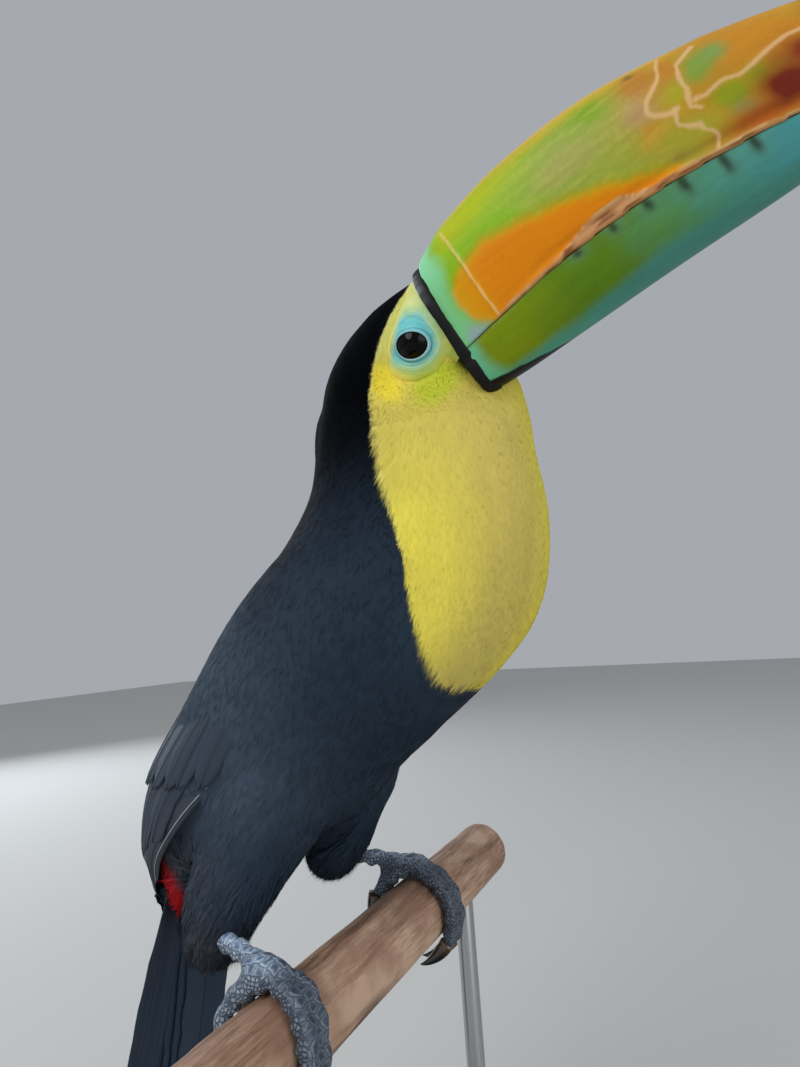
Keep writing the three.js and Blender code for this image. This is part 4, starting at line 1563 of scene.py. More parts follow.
@dataclass
class Wings:
    """The folded wings: primaries, secondaries and one row of coverts."""

    # the rows' blue greys are black feathers lightened by painted sheen
    rows = (
        FeatherRow(
            10, ((6.3, 0.03), (6.6, 0.6)), ((8.95, 0.17), (9.9, 0.8)), (5.5, 5), (-3.0, -1.0), 22,
            (60, 69, 81), 0.16, True,
        ),
        FeatherRow(
            9, ((5.9, 0.3), (5.6, 0.95)), ((8.0, 0.24), (9.4, 0.92)), (5, 6), (-3.8, -0.6), 20, (60, 69, 81),
            0.2,
        ),
        FeatherRow(
            10, ((5.2, 0.5), (5.0, 0.97)), ((7.1, 0.09), (7.3, 0.94)), (4.4, 4.8), (-6.0, 0.0), 16,
            (56, 67, 80), 0.22,
        ),
    )
    pale_shaft: Triple = (236, 232, 224)

    at: tuple[float, ...] = (3.55, 4, 5, 6, 7, 8, 9, 9.8, 10.5)
    upper: tuple[float, ...] = (118, 140, 158, 168, 175, 178, 178, 174, 164)
    lower: tuple[float, ...] = (92, 72, 66, 72, 84, 98, 116, 132, 146)
    thick: tuple[float, ...] = (3.5, 6, 7.5, 7.5, 7, 6.5, 5.5, 6, 5)

    def place(self, side: float, at: Array, share: Array, lift: Array) -> Array:
        """A place on the wing's outer surface; share runs from the lower edge to the upper one."""
        upper, lower, thick = (np.interp(at, self.at, v) for v in (self.upper, self.lower, self.thick))
        swell = 0.16 + 0.84 * np.sin(np.pi * np.clip(share, 0, 1)) ** 0.6
        return RIBCAGE.place(at, side * (lower + share * (upper - lower)), 0.2 + thick * swell + lift)

    def covers(
        self, points: Array, start: float = 7.0, reach: float = 3.6, low: float | None = None
    ) -> Array:
        """Whether each place lies under a wing's larger feathers.

        Args:
            points: places, n by 3.
            start: where along the wing those feathers begin.
            reach: how near they have to be.
            low: the share where they begin, if it isn't their own lower edge.

        Returns:
            A truth value for each place.
        """
        hidden = np.zeros(len(points), bool)
        at, share = np.meshgrid(np.linspace(start, 10.4, 60), np.linspace(0, 1, 30), indexing="ij")
        first = np.interp(at, [7, 8, 8.8, 9.5, 10.4], [0.06, 0.08, 0.13, 0.2, 0.3]) if low is None else low
        share = first + (0.95 - first) * share
        for side in SIDES.values():
            grid = self.place(side, at.ravel(), share.ravel(), np.full(at.size, -3.0))
            tree = BVHTree.FromPolygons(grid.tolist(), lathe_faces(60, 30, closed=False).tolist())
            hidden |= np.array([tree.find_nearest(p, reach)[0] is not None for p in points.tolist()])
        return hidden

    def path(self, side: float, start: Array, end: Array, lift: Pair, steps: int) -> tuple[Array, Array]:
        """Shaft and outward directions of a feather from start to end, each (at, share)."""
        t = np.linspace(0, 1, steps)
        at = start[0] + (end[0] - start[0]) * t
        share = start[1] + (end[1] - start[1]) * t**0.9
        height = lift[0] + (lift[1] - lift[0]) * (t if lift[0] < -5 else np.sqrt(t))
        here = self.place(side, at, share, height)
        ahead = self.place(side, at + 0.03, share, height) - here
        across = self.place(side, at, share + 0.02, height) - here
        ups = unit(np.cross(across, ahead)) * side
        return here, -ups if (ups[0] * (here[0] - PERCH_MIDDLE - np.array([0, 0, 90])))[1] < 0 else ups

    def feathers(self, side: float, row: FeatherRow, rng: np.random.Generator) -> list[Sheet]:
        """The feathers of one row on the left wing (side 1) or the right one (-1)."""
        sheets = []
        starts, ends = np.array(row.starts, float), np.array(row.ends, float)
        plume = Plume(outer=0.3 if row.pale_first else 1.0)
        shape = blade_shape(row.steps, tip=row.tip)
        for k in range(row.count):
            f = k / (row.count - 1)
            start = starts[0] + (starts[1] - starts[0]) * f + rng.normal(0, 0.012, 2)
            end = ends[0] + (ends[1] - ends[0]) * f + rng.normal(0, 0.02, 2)
            lift = (row.lift[0], row.lift[1] + 0.42 * f * row.count / 4)
            path, ups = self.path(side, start, end, lift, row.steps)
            tint = srgb(*row.colour) * rng.uniform(0.94, 1.08)
            shaft = srgb(*self.pale_shaft) if row.pale_first and k == 0 else tint * 0.8
            width = row.half[0] + (row.half[1] - row.half[0]) * f
            sheets.append(plume.make(
                path, ups, width, shape, tint, shaft, unwrap(path[:1])[0], rng, flip=side > 0
            ))
        return sheets

    def make(self) -> None:
        """Builds both wings."""
        for name, side in SIDES.items():
            rng = np.random.default_rng(31 if side > 0 else 37)
            sheets = [sheet for row in self.rows for sheet in self.feathers(side, row, rng)]
            settle(stack(sheets).build(f"wing_feathers_{name}"), Slot.BLACK, finish=PLUME)


@dataclass
class Tail:
    """Ten rectrices, the middle pair outermost on the back."""

    pairs: int = 5
    steps: int = 26
    length: float = 149.5
    half: float = 10.2
    # a blue grey: the black tail feathers lightened by painted sheen
    colour: Triple = (64, 78, 96)

    def make(self) -> None:
        """Builds the tail."""
        rng = np.random.default_rng(41)
        sheets = []
        for k in range(self.pairs):
            for side in SIDES.values():
                t = np.linspace(0, 1, self.steps)
                end = self.length - 1.1 * k**1.7
                drop = 6 + (end - 6) * t
                y = side * ((1.6 + 2.7 * k) + (2.2 + 0.9 * k) * smooth(0, 1, t) ** 0.8)
                spread = np.interp(drop, [10, 40, 80, 120, 150], [20, 25, 26.5, 27, 27])
                shift = -4.4 + 1.0 * k + 5 * (y / spread) ** 2 + (0.25 if side > 0 else 0)
                path = TAIL_ROOT + TAIL_DOWN * drop[:, None] + TAIL_FRONT * shift[:, None]
                path[:, 1] += y
                slope = 10 * y / spread**2
                ups = unit(-TAIL_FRONT + np.stack([np.zeros_like(y), slope, np.zeros_like(y)], 1))
                shape = blade_shape(self.steps, root=0.6, tip=0.11, fullest=0.3)
                root = unwrap(path[:1])[0]
                tint = srgb(*self.colour) * rng.uniform(0.9, 1.12)
                sheets.append(Plume().make(path, ups, self.half, shape, tint, tint * 0.6, root, rng))
        settle(stack(sheets).build("tail_feathers"), Slot.BLACK, "tail", finish=PLUME)


# ---- bill, eyes and claws


@dataclass
class Bill:
    """The bill's two halves and the black band at its base."""

    sections: Table = (
        (0.02, 24, -8, -24.4, 19.3),
        (0.1, 28.2, -6.5, -25, 19.6),
        (0.25, 30.9, -4.5, -25.1, 19),
        (0.45, 29.2, -4.5, -25, 17),
        (0.65, 21.6, -8.5, -25.4, 14.2),
        (0.8, 12.6, -13.5, -24.8, 10.8),
        (0.92, 1.5, -18, -22.6, 7),
        (0.975, -6, -19.6, -21.4, 4),
        (1, -14, -22, -21.6, 1.4),
    )
    patches: Table = (
        (104, 0.5, 26, 0.7, 1.0, 196, 132, 34),
        (66, 0.84, 4.5, 0.09, 0.8, 122, 164, 20),
        (56, 0.6, 10, 0.12, 0.55, 172, 160, 92),
        (79, 0.85, 4.5, 0.15, 0.85, 186, 122, 42),
        (76, 0.62, 4.5, 0.12, 0.7, 186, 144, 104),
        (77, 0.42, 3.2, 0.09, 0.7, 200, 138, 36),
        (86, 0.62, 2.5, 0.1, 0.8, 164, 164, 24),
        (86, 0.84, 2.2, 0.1, 0.7, 192, 118, 34),
        (84, 0.26, 7, 0.14, 0.8, 162, 160, 44),
        (92, 0.74, 3.2, 0.12, 0.9, 118, 154, 56),
        (96, 0.8, 2.6, 0.07, 0.8, 108, 156, 80),
        (95, 0.4, 4.5, 0.12, 0.9, 134, 154, 22),
        (96, 0.24, 3.2, 0.08, 0.7, 142, 140, 78),
        (103, 0.48, 4, 0.1, 0.8, 140, 146, 28),
        (99, 0.13, 10, 0.09, 0.9, 168, 82, 18),
        (107, 0.28, 6, 0.16, 1.0, 112, 34, 12),
        (113, 0.5, 5, 0.14, 0.9, 128, 40, 20),
        (79, 0.14, 2, 0.05, 0.5, 140, 122, 50),
        (78, 0.94, 1, 0.02, 0.7, 110, 84, 30),
    )
    veins: tuple[tuple[Pair, ...], ...] = (
        ((86, 0.96), (84, 0.8), (79, 0.67), (77.6, 0.59), (78.4, 0.53), (82.6, 0.5), (84, 0.5)),
        ((94, 0.93), (89, 0.84), (87.8, 0.73), (88, 0.61), (87, 0.54), (87, 0.47), (88.4, 0.42)),
        ((88.4, 0.5), (91, 0.5), (95, 0.54), (99, 0.52), (103, 0.57), (107, 0.63), (112, 0.69), (118, 0.7)),
        ((83.4, 0.5), (82.5, 0.4), (84.3, 0.33), (86.4, 0.31), (88.3, 0.22), (88.4, 0.14), (87, 0.05)),
    )
    crease: Table = ((0, 0.2, 0.4, 0.6, 0.8, 1), (18.7, 18.1, 17.8, 17.2, 16.2, 14.6))
    flame_top: Table = (
        (8, 10, 15, 21, 26, 34, 44, 53, 62, 69, 78, 84),
        (0.2, 0.46, 0.54, 0.56, 0.57, 0.5, 0.42, 0.34, 0.26, 0.18, 0.11, 0.02),
    )
    flame_floor: Table = ((8, 9, 11, 15, 20), (0.44, 0.3, 0.17, 0.04, -0.1))
    aqua_edge: Table = ((0, 0.1, 0.3, 0.5, 0.7, 0.9), (15, 11.5, 8.6, 9.6, 11.5, 8.5))
    worn_strip: Table = (
        (17, 20, 30, 41, 46, 52, 58, 63, 66, 72, 79, 90, 100, 108),
        (0.2, 0.8, 1.0, 1.6, 2.8, 4.4, 4.6, 4.2, 2.6, 1.9, 2.0, 1.5, 1.2, 0.3),
    )
    # painted shadows below the gaps between the upper bill's serrations: place along the bill and how far
    # down each reaches
    serration_shadows: Table = ((46, 2.6), (57, 3.2), (67, 3.8), (76.5, 5.2), (87, 5.6), (94.5, 4.2))
    under_edge: Table = ((0, 4, 12, 20, 28, 36), (-19.6, -20.3, -21.6, -22.8, -24.2, -26))
    band_rows: Table = (
        (0, -1.3), (0.03, 0.0), (0.12, 0.4), (0.3, 0.6), (0.55, 0.65), (0.8, 0.55), (0.95, 0.3), (1.0, -0.3),
        (1, -1.5),
    )
    band_back: Table = ((-20, -12, -6, 4, 9, 15, 22), (0.9, 0.7, 1.0, 1.3, 0.7, 0.0, -0.7))
    band_front: Table = ((-25, -14, -9, -3, 7, 12, 18, 23), (5.3, 5.0, 5.0, 4.6, 4.3, 4.1, 3.9, 3.8))
    rings: int = 390
    around: int = 166
    base: float = 3.3
    lower_end: float = 0.96
    tooth: float = 10.2

    def section(self, place: Array) -> Array:
        """Culmen, mouth, keel and half width at distances along the bill."""
        table = np.array(self.sections)
        t = np.interp(place / BILL_LENGTH, table[:, 0], np.arange(len(table)))
        return catmull(table[:, 1:], t)

    def half(self, is_upper: bool) -> tuple[Array, Array, Array]:
        """Grid of one half: its places, the distance along and the height share at each.

        Args:
            is_upper: which half.

        Returns:
            Places (rings by around by 3), distance along, and share of the half's height.
        """
        end = BILL_LENGTH * (1 if is_upper else self.lower_end)
        f = 1 - (1 - np.linspace(0, 1, self.rings)) ** 1.25
        place = self.base + (end - self.base) * f
        s = self.section(place)
        mouth = s[:, 1] + (0.15 if is_upper else -0.15 + 0.4 * smooth(20, 34, place))
        rise = np.maximum(s[:, 0] - mouth, 1.2) if is_upper else np.minimum(s[:, 2] - mouth, -1.2)
        a = np.linspace(0, np.pi, self.around)
        w = np.sign(np.cos(a)) * np.abs(np.cos(a)) ** (0.86 if is_upper else 0.7)
        v = np.sin(a) ** (0.92 if is_upper else 0.8)
        if not is_upper:
            square = smooth(46, 6, place)[:, None]
            w = w[None] * (1 - square) + (np.sign(np.cos(a)) * np.abs(np.cos(a)) ** 0.42)[None] * square
            v = v[None] * (1 - square) + (np.sin(a) ** 0.55)[None] * square
        out = s[:, 3:4] * w
        up = mouth[:, None] + rise[:, None] * v
        height = np.abs(up - mouth[:, None])
        if is_upper:
            out = out + np.sign(w) * 0.45 * bell(height - 1.0, 0.9) * smooth(14, 30, place)[:, None]
            out = out - np.sign(w) * 0.5 * bell(height - 3.4, 1.3) * smooth(24, 44, place)[:, None]
            up = up + 0.7 * bell(a - np.pi / 2, 0.16) * smooth(140, 60, place)[:, None]
            phase = ((place - 41) / self.tooth) % 1
            bite = 0.5 * smooth(0.0, 0.12, phase) * (1 - phase)
            bite = bite * smooth(30, 41, place) * smooth(140, 110, place)
            up = up + bite[:, None] * bell(height, 1.6)
            crease = np.interp(np.broadcast_to(v, up.shape), *self.crease)
            ridge = bell(place[:, None] - crease, 0.5) * smooth(1, 4, height)
            out = out + np.sign(w) * 0.28 * ridge
        along = np.broadcast_to(place[:, None], up.shape)
        grid = HEAD.to_part(np.stack([along, up, out], -1))
        return grid, along, np.broadcast_to(v, along.shape)

    def shell(self, is_upper: bool) -> Object:
        """Builds and paints one half."""
        grid, along, share = self.half(is_upper)
        points = np.concatenate([grid.reshape(-1, 3), [grid[0].mean(0), grid[-1].mean(0)]])
        ends = [[self.base, 0.5], [BILL_LENGTH, 0.5]]
        flat = np.concatenate([np.stack([along.ravel(), share.ravel()], 1), ends])
        flat = np.column_stack([flat, HEAD.to_head(points)[:, 1]])
        colour = self.upper_colour(points, flat) if is_upper else self.lower_colour(points, flat)
        name = "bill_upper_horn" if is_upper else "bill_lower_horn"
        faces = tube_faces(self.rings, self.around)
        return Sheet(points, faces[:, ::-1] if is_upper else faces, colour).build(name)

    def upper_colour(self, points: Array, flat: Array) -> Array:
        """Green, orange and yellow horn with a mottled end, veins and a red tip."""
        along, share, _ = flat.T
        blotch, fine = noise(points, 9, 21, 3), noise(points, 3.0, 22, 3)
        s = along + 0.9 * fine
        q = share + 0.02 * fine
        height = share * np.interp(along, [0, 40, 80, 110, 150], [33, 35, 29, 20, 6])
        colour = overlay(
            srgb(136, 184, 14),
            ((146, 170, 60), smooth(26, 52, s + 8 * blotch)),
            ((178, 190, 14), smooth(0.62, 0.9, q) * smooth(56, 26, s) * smooth(8, 16, s)),
            ((196, 176, 34), smooth(0.86, 0.97, q) * smooth(26, 50, s)),
        )
        for patch in self.patches:
            colour = self.blot(colour, s + 2.5 * blotch, q, patch)
        edge = np.minimum(np.interp(s, *self.flame_top) - q, q - np.interp(s, *self.flame_floor))
        orange = smooth(-0.035, 0.045, edge) * smooth(7.5, 10.5, s) * smooth(92, 78, s)
        fringe = smooth(-0.09, 0.0, edge) * smooth(8, 14, s) * smooth(84, 70, s) * 0.8
        flame = mix(srgb(216, 154, 2), srgb(224, 132, 0), smooth(10, 24, s) * smooth(0.0, 0.09, edge))
        colour = mix(overlay(colour, ((176, 158, 12), fringe)), flame, orange)
        streaks = self.streaks(flat)
        tan = smooth(-0.2, 1.0, streaks) * smooth(26, 40, s) * smooth(84, 70, s) * (1 - orange)
        colour = overlay(colour * (1 + 0.08 * streaks)[:, None], ((190, 180, 84), 0.4 * tan))
        aqua = overlay(
            srgb(126, 202, 136),
            ((150, 176, 174), smooth(0.2, 0.04, q) * smooth(5, 9, s)),
            ((138, 216, 160), smooth(0.5, 0.85, q)),
        )
        colour = mix(colour, aqua, smooth(1, -1, (s - np.interp(q, *self.aqua_edge)) / 3.0))
        for line in self.veins:
            near = self.near_line(s, q * 26, [(a, b * 26) for a, b in line])
            width = 0.55 + 0.35 * smooth(-0.4, 0.6, blotch)
            colour = overlay(colour, ((222, 180, 124), 0.85 * smooth(width + 0.15, 0.1, near)))
        crease = np.abs(along - np.interp(share, *self.crease) - 0.25 * fine)
        rim = smooth(0.965, 0.99, share) * smooth(12, 20, s) * smooth(100, 80, s)
        colour = overlay(
            colour,
            ((232, 196, 120), 0.8 * smooth(0.55, 0.2, crease) * smooth(0.99, 0.9, q)),
            ((214, 176, 84), 0.8 * rim),
        )
        strip = np.interp(along, *self.worn_strip)
        wear_and_shade = smooth(0.35, -0.35, height - strip - 0.5 * fine) * smooth(16, 20, s)
        layer = noise(np.stack([along * 0.16, height * 2.4, points[:, 1] * 0], 1), 1.0, 24, 2)
        bark = overlay(
            srgb(190, 140, 92),
            ((116, 72, 38), smooth(0.0, 0.55, layer)),
            ((216, 176, 122), smooth(0.5, 0.1, np.abs(height - strip))),
        )
        colour = mix(colour, bark, 0.92 * wear_and_shade)
        tip = mix(srgb(150, 34, 24), srgb(96, 18, 18), smooth(0.0, 0.6, fine))
        return mix(colour, tip, smooth(112, 128, s + 5 * blotch + 5 * (0.5 - q)))

    def lower_colour(self, points: Array, flat: Array) -> Array:
        """Olive green horn with aqua edges, teal further out, painted shadows below the serrations, and a red
        tip.
        """
        s, q, up = flat.T
        blotch, fine = noise(points, 9, 31, 3), noise(points, 3, 32, 2)
        depth = q * np.interp(s, [0, 40, 90, 130, 150], [17, 20, 13, 5, 1])
        rim = smooth(0.66, 0.9, q + 0.05 * blotch + 0.12 * smooth(30, 70, s))
        colour = overlay(
            srgb(122, 142, 4),
            ((92, 130, 20), smooth(14, 46, s + 7 * blotch)),
            ((84, 142, 84), smooth(50, 70, s + 8 * blotch)),
            ((76, 150, 138), smooth(66, 92, s + 8 * blotch)),
            ((72, 148, 150), smooth(88, 104, s + 5 * blotch)),
        )
        colour = mix(colour, mix(srgb(76, 158, 132), srgb(74, 142, 128), smooth(20, 60, s)), rim)
        colour = overlay(
            colour,
            ((104, 186, 142), smooth(11, 5, s + 1.5 * blotch - 3 * smooth(0.3, 0.9, q))),
            ((142, 28, 24), smooth(112, 126, s + 5 * blotch)),
        )
        # painted shadow: below each gap between the upper bill's serrations, a dark smear in a soft teal haze
        for mark, reach in self.serration_shadows:
            lean = mark + 0.12 * depth + 0.5 * fine
            halo = bell(s - lean, 3.2) * smooth(reach + 1.6, 1.0, depth)
            gap_shadow = bell(s - lean, 1.15 + 0.06 * depth) * smooth(reach, 0.3 * reach, depth)
            colour = overlay(colour, ((98, 146, 120), 0.45 * halo), ((40, 48, 30), 0.85 * gap_shadow))
        colour = overlay(colour, ((66, 84, 20), 0.35 * smooth(0.4, 0.1, depth)))
        colour = colour * (1 + 0.09 * self.streaks(flat))[:, None]
        under = up - np.interp(s, *self.under_edge) - 0.3 * fine
        return mix(colour, srgb(16, 16, 18), smooth(0.35, -0.35, under) * smooth(34, 29, s))

    @staticmethod
    def streaks(flat: Array) -> Array:
        """Long soft streaks and fine specks in the horn."""
        place = flat[:, [0, 2, 1]] * [1, 1, 0]
        return noise(place * [0.14, 0.9, 1], 1.0, 26, 2) + 0.5 * noise(place, 0.9, 27, 2)

    @staticmethod
    def blot(colour: Array, s: Array, q: Array, patch: tuple[float, ...]) -> Array:
        """Lays one soft patch over the colour.

        Args:
            colour: the colour so far.
            s: distance along the bill.
            q: share of the half's height.
            patch: its middle along the bill and in height, its half length and half height, how strong it is,
                and its display colour.

        Returns:
            The new colour.
        """
        at, height, long, tall, share, *tint = patch
        near = np.exp(-(((s - at) / long) ** 2) - ((q - height) / tall) ** 2)
        return mix(colour, srgb(*tint), share * np.clip(near * 1.35, 0, 1))

    @staticmethod
    def near_line(x: Array, y: Array, line: list[Pair]) -> Array:
        """Distance of each place from a line through a few places."""
        best = np.full(len(x), 99.0)
        for (ax, ay), (bx, by) in zip(line, line[1:]):
            dx, dy = bx - ax, by - ay
            t = np.clip(((x - ax) * dx + (y - ay) * dy) / (dx * dx + dy * dy), 0, 1)
            best = np.minimum(best, np.hypot(x - ax - t * dx, y - ay - t * dy))
        return best

    def band(self) -> Object:
        """The black band, a little proud of the bill, square at its lower corners and nicked at the gape."""
        a = np.linspace(0, 2 * np.pi, 240, endpoint=False)
        low = np.cos(a) < 0
        up_shape = np.where(low, -np.abs(np.cos(a)) ** 0.5, np.cos(a))
        out_shape = np.sign(np.sin(a)) * np.where(low, np.abs(np.sin(a)) ** 0.42, np.abs(np.sin(a)) ** 0.95)
        ragged = noise(np.stack([np.cos(a) * 20, np.sin(a) * 20, a * 0], 1), 2.2, 51, 3)
        gape = bell(-4.6 - 24.0 * np.cos(a), 1.3) * low
        grid, tint = [], []
        for share, swell in self.band_rows:
            up = np.where(low, 24.6 + swell, 22.6 + swell) * up_shape
            out = (19.6 + swell - 0.7 * gape * (swell > 0)) * out_shape
            back, front = np.interp(up, *self.band_back), np.interp(up, *self.band_front)
            jag = np.interp(share, [0, 0.5, 0.8, 1], [0.25, 0.1, 0.15, 0.35]) * ragged
            grid.append(HEAD.to_part(np.stack([back + (front - back) * share + jag, up, out], 1)))
            frost = smooth(9, 15, up) * smooth(0.8, 0.2, share) * smooth(-0.3, 0.6, ragged)
            tint.append(mix(srgb(19, 19, 21), srgb(120, 122, 126), 0.8 * frost))
        faces = lathe_faces(len(grid), len(a), wrapped=True)
        return Sheet(np.concatenate(grid), faces, np.concatenate(tint)).build("bill_band_skin")

    def make(self) -> None:
        """Builds the bill."""
        settle(self.shell(True), Slot.UPPER, "bill_upper", finish=HORN)
        settle(self.shell(False), Slot.LOWER, "bill_lower", finish=HORN)
        settle(self.band(), Slot.BAND, "bill_band", finish=BAND)


@dataclass
class Eyes:
    """Two wet dark balls with a raised cornea over a dark brown iris."""

    pupil: float = 3.0
    iris: float = 4.9

    def make(self) -> None:
        """Builds both eyes."""
        for side, sign in SIDES.items():
            centre = eye_centre(side)
            select()
            bpy.ops.mesh.primitive_ico_sphere_add(
                subdivisions=6, radius=EYE_RADIUS * MM, location=tuple(centre * MM)
            )
            obj = added(f"eyeball_{side}")
            points = points_of(obj)
            gaze = unit(HEAD.right * -sign + HEAD.forward * 0.12)
            ahead = (points - centre) @ gaze
            off = np.sqrt(np.maximum(EYE_RADIUS**2 - ahead**2, 0))
            front = ahead > 0
            set_points(obj, points + gaze * (0.45 * smooth(4.6, 0.5, off) * front)[:, None])
            iris = smooth(self.pupil - 0.15, self.pupil + 0.15, off) * front
            shade = mix(srgb(3, 3, 4), srgb(11, 8, 7), iris)
            shade = mix(shade, srgb(12, 10, 10), smooth(self.iris - 0.5, self.iris, off))
            paint(obj.data, "tint", shade * (1 + 0.2 * noise(points, 0.5, 81))[:, None])
            bpy.ops.object.shade_smooth()
            settle(obj, Slot.EYE, f"eye_{side}", finish=EYE)


@dataclass
class Claws:
    """Eight curved claws that follow the perch."""

    rings: int = 18
    around: int = 20

    def claw(self, node: str) -> Sheet:
        """One claw, from the place and turn of its node."""
        p = points_of(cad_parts[node]) - PERCH_MIDDLE
        front = "front" in node
        raw = np.degrees(np.arctan2(p[:, 2], p[:, 0]))
        raw = np.where(raw < (-170 if front else -20), raw + 360, raw)
        start, end = (raw.max(), raw.min()) if front else (raw.min(), raw.max())
        base = np.abs(raw - start) < 12
        radius = np.hypot(p[base, 0], p[base, 2]).mean()
        y = p[:, 1].mean()
        t = np.linspace(0, 1, self.rings)
        turn = np.radians(start + (end - start) * (t * 1.02 - 0.06))
        reach = radius + 0.5 - 0.6 * t + 2.6 * t**2
        thick = 2.8 * (1 - t**1.6) ** 0.8 + 0.15
        a = np.linspace(0, 2 * np.pi, self.around, endpoint=False)
        rise = reach[:, None] + thick[:, None] * np.cos(a) * np.where(np.cos(a) > 0, 1.05, 0.8)
        wide = thick[:, None] * np.sin(a) * 0.72
        points = np.stack([np.cos(turn)[:, None] * rise, y + wide, np.sin(turn)[:, None] * rise], -1)
        points = points + PERCH_MIDDLE
        points = np.concatenate([points.reshape(-1, 3), [points[0].mean(0), points[-1].mean(0)]])
        t = np.concatenate([np.repeat(t, self.around), [0, 1]])
        tint = mix(srgb(84, 66, 50), srgb(30, 23, 20), smooth(0.0, 0.35, t))
        faces = tube_faces(self.rings, self.around)
        return Sheet(points, faces[:, ::-1] if end < start else faces, tint)

    def make(self) -> None:
        """Builds all the claws."""
        for side in SIDES:
            for toe in TOES:
                node = f"claw_{toe}_{side}"
                settle(self.claw(node).build(f"{node}_horn"), Slot.CLAW, node, finish=CLAW)


# ---- perch and stand


@dataclass
class Perch:
    """A cut length of bare branch."""

    radius: float = PERCH_RADIUS
    half_length: float = 112.0
    scars: Table = ((-70, 150, 6.0), (58, 40, 5.0), (-18, 200, 4.0))

    def make(self) -> None:
        """Builds the perch."""
        select()
        bpy.ops.mesh.primitive_cylinder_add(
            vertices=112, radius=self.radius * MM, depth=2 * self.half_length * MM,
            location=tuple(PERCH_MIDDLE * MM), rotation=(math.pi / 2, 0, 0),
        )
        obj = added("perch_branch")
        for cuts in (9, 12):
            pick(obj, "EDGE", lambda a, b: abs(a.y - b.y) > 5 * MM)
            bpy.ops.mesh.subdivide(number_cuts=cuts)
            close_edit()
        pick(obj, "EDGE", lambda a, b: abs(a.y - b.y) < 1e-6 and abs(abs(a.y) - self.half_length * MM) < 1e-5)
        bpy.ops.mesh.bevel(offset=0.7 * MM, segments=3, affect="EDGES")
        close_edit()
        points = points_of(obj)
        p = points - PERCH_MIDDLE
        radius = np.hypot(p[:, 0], p[:, 2])
        stretched = p * [1, 0.12, 1]
        dent = 0.30 * noise(stretched, 3.0, 61, 3) - 0.30 + 0.22 * noise(p, 26, 62, 2)
        for y, turn, size in self.scars:
            turn = math.radians(turn)
            spot = np.array([math.cos(turn) * self.radius, y, math.sin(turn) * self.radius])
            away = np.linalg.norm((p - spot) * [1, 0.7, 1], axis=1) / size
            dent += 0.35 * bell(away - 0.8, 0.3) - 0.7 * bell(away, 0.5)
        scale = np.where(radius > 6, (radius + np.minimum(dent, 0.05)) / np.maximum(radius, 1e-6), 1)
        p[:, [0, 2]] *= scale[:, None]
        set_points(obj, p + PERCH_MIDDLE)
        select(obj)
        bpy.ops.object.shade_smooth_by_angle(angle=SMOOTH_ANGLE)
        settle(obj, Slot.PERCH, "perch", finish=WoodFinish())


@dataclass
class DisplayStand:
    """The flat base and two rods."""

    length: float = 190.0
    width: float = 200.0
    thick: float = 12.0
    corner: float = 24.0
    rod_radius: float = 4.0
    rods: tuple[tuple[str, float], ...] = (("near", -84.0), ("far", 84.0))

    def base(self) -> Object:
        """A rounded plate with softened edges."""
        select()
        bpy.ops.mesh.primitive_cube_add(
            size=1, location=(0, 0, self.thick / 2 * MM),
            scale=(self.length * MM, self.width * MM, self.thick * MM),
        )
        obj = added("stand_plate")
        pick(obj, "EDGE", lambda a, b: abs(a.z - b.z) > 1 * MM)
        bpy.ops.mesh.bevel(offset=self.corner * MM, segments=14, affect="EDGES")
        close_edit()
        pick(obj, "EDGE", lambda a, b: abs(a.z - b.z) < 1e-6 and (a - b).length < 160 * MM)
        bpy.ops.mesh.bevel(offset=1.4 * MM, segments=4, affect="EDGES")
        close_edit()
        bpy.ops.object.shade_smooth_by_angle(angle=SMOOTH_ANGLE)
        return obj

    def rod(self, y: float, name: str) -> Object:
        """One upright rod that rises from a small foot ring."""
        foot, ring = 2.4, 3.2
        rise = PERCH_MIDDLE[2] - PERCH_RADIUS + 1.0 - self.thick - foot
        select()
        bpy.ops.mesh.primitive_cylinder_add(
            vertices=64, radius=(self.rod_radius + ring) * MM, depth=foot * MM,
            location=(PERCH_MIDDLE[0] * MM, y * MM, (self.thick + foot / 2) * MM),
        )
        obj = added(name)
        pick(obj, "FACE", lambda middle, normal: normal.z > 0.9)
        bpy.ops.mesh.inset(thickness=ring * MM)
        bpy.ops.mesh.extrude_region_move(TRANSFORM_OT_translate={"value": (0, 0, rise * MM)})
        close_edit()
        apply_modifier(
            obj, "BEVEL", width=0.5 * MM, segments=3, limit_method="ANGLE", angle_limit=math.radians(50)
        )
        bpy.ops.object.shade_smooth_by_angle(angle=SMOOTH_ANGLE)
        return obj

    def make(self) -> None:
        """Builds the stand."""
        settle(self.base(), Slot.BASE, "stand_base", finish=STAND)
        for name, y in self.rods:
            settle(self.rod(y, f"rod_{name}"), Slot.ROD, f"stand_rod_{name}", finish=STEEL)


# ---- studio


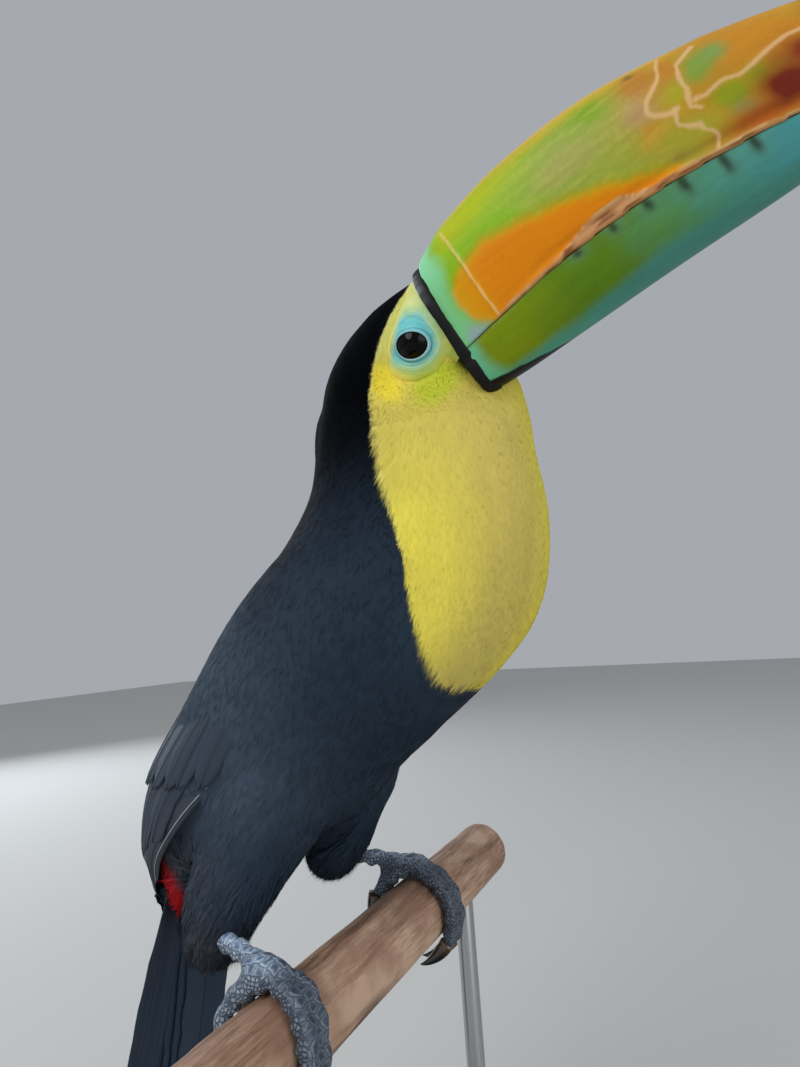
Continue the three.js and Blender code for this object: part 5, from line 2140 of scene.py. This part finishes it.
@dataclass
class Studio:
    """Pale floor, soft light and the camera."""

    place: Triple = (138.3, -210.9, 264.6)
    ahead: Triple = (-0.4335, 0.8883, 0.1516)
    right: Triple = (0.8920, 0.4470, -0.0660)
    lens: float = 22.27

    def floor(self) -> None:
        """A plain pale floor."""
        select()
        bpy.ops.mesh.primitive_plane_add(size=8, location=(0, 0, 0))
        obj = bpy.context.object
        obj.name = "floor"
        obj.data.materials.append(PlainFinish("pale_floor", (196, 195, 192), 0.85).make())

    def lamp(self, name: str, place: Triple, aim: Triple, size: float, power: float,
             colour: Triple = (1, 1, 1)) -> None:
        """One soft area lamp."""
        data = bpy.data.lights.new(name, "AREA")
        data.shape, data.size, data.energy, data.color = "DISK", size, power, colour
        obj = link(name, data)
        obj.location = place
        obj.rotation_euler = (Vector(aim) - Vector(place)).to_track_quat("-Z", "Y").to_euler()

    def camera(self) -> None:
        """The camera at the bird's right front, tilted slightly up."""
        ahead = Vector(self.ahead).normalized()
        right = Vector(self.right)
        right = (right - ahead * right.dot(ahead)).normalized()
        up = right.cross(ahead)
        data = bpy.data.cameras.new("camera")
        data.sensor_width, data.lens = 36.0, self.lens
        data.clip_start, data.clip_end = 0.01, 50.0
        obj = link("camera", data)
        axes = Matrix((right, up, -ahead)).transposed()
        obj.matrix_world = Matrix.Translation(Vector(self.place) * MM) @ axes.to_4x4()
        bpy.context.scene.camera = obj

    def make(self) -> None:
        """Builds the studio."""
        self.floor()
        middle = (0.0, 0.0, 0.25)
        self.lamp("key", (-0.5, -1.6, 1.4), middle, 1.3, 20)
        self.lamp("fill", (1.5, -0.7, 0.6), middle, 1.2, 8)
        self.lamp("window", (-1.5, 0.7, 0.9), middle, 1.3, 15, (0.86, 0.93, 1.0))
        world = bpy.data.worlds.new("studio")
        world.use_nodes = True
        sky = world.node_tree.nodes["Background"]
        fill(world.node_tree, sky, {"Color": (0.76, 0.8, 0.86, 1), "Strength": 0.5})
        bpy.context.scene.world = world
        bpy.context.scene.view_settings.view_transform = "Standard"
        self.camera()


def main() -> None:
    """Builds every piece in order."""
    logging.basicConfig(level=logging.INFO, format="%(message)s")
    select()
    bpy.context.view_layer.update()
    skin = Skin()
    skin.make()
    wings = Wings()
    coat = Coat(skin.ground, wings)
    for part in (coat, wings, Tail(), Bill(), Eyes(), Claws(), Perch(), DisplayStand(), Studio()):
        part.make()
    bpy.context.view_layer.update()


if __name__ == "__main__":
    main()
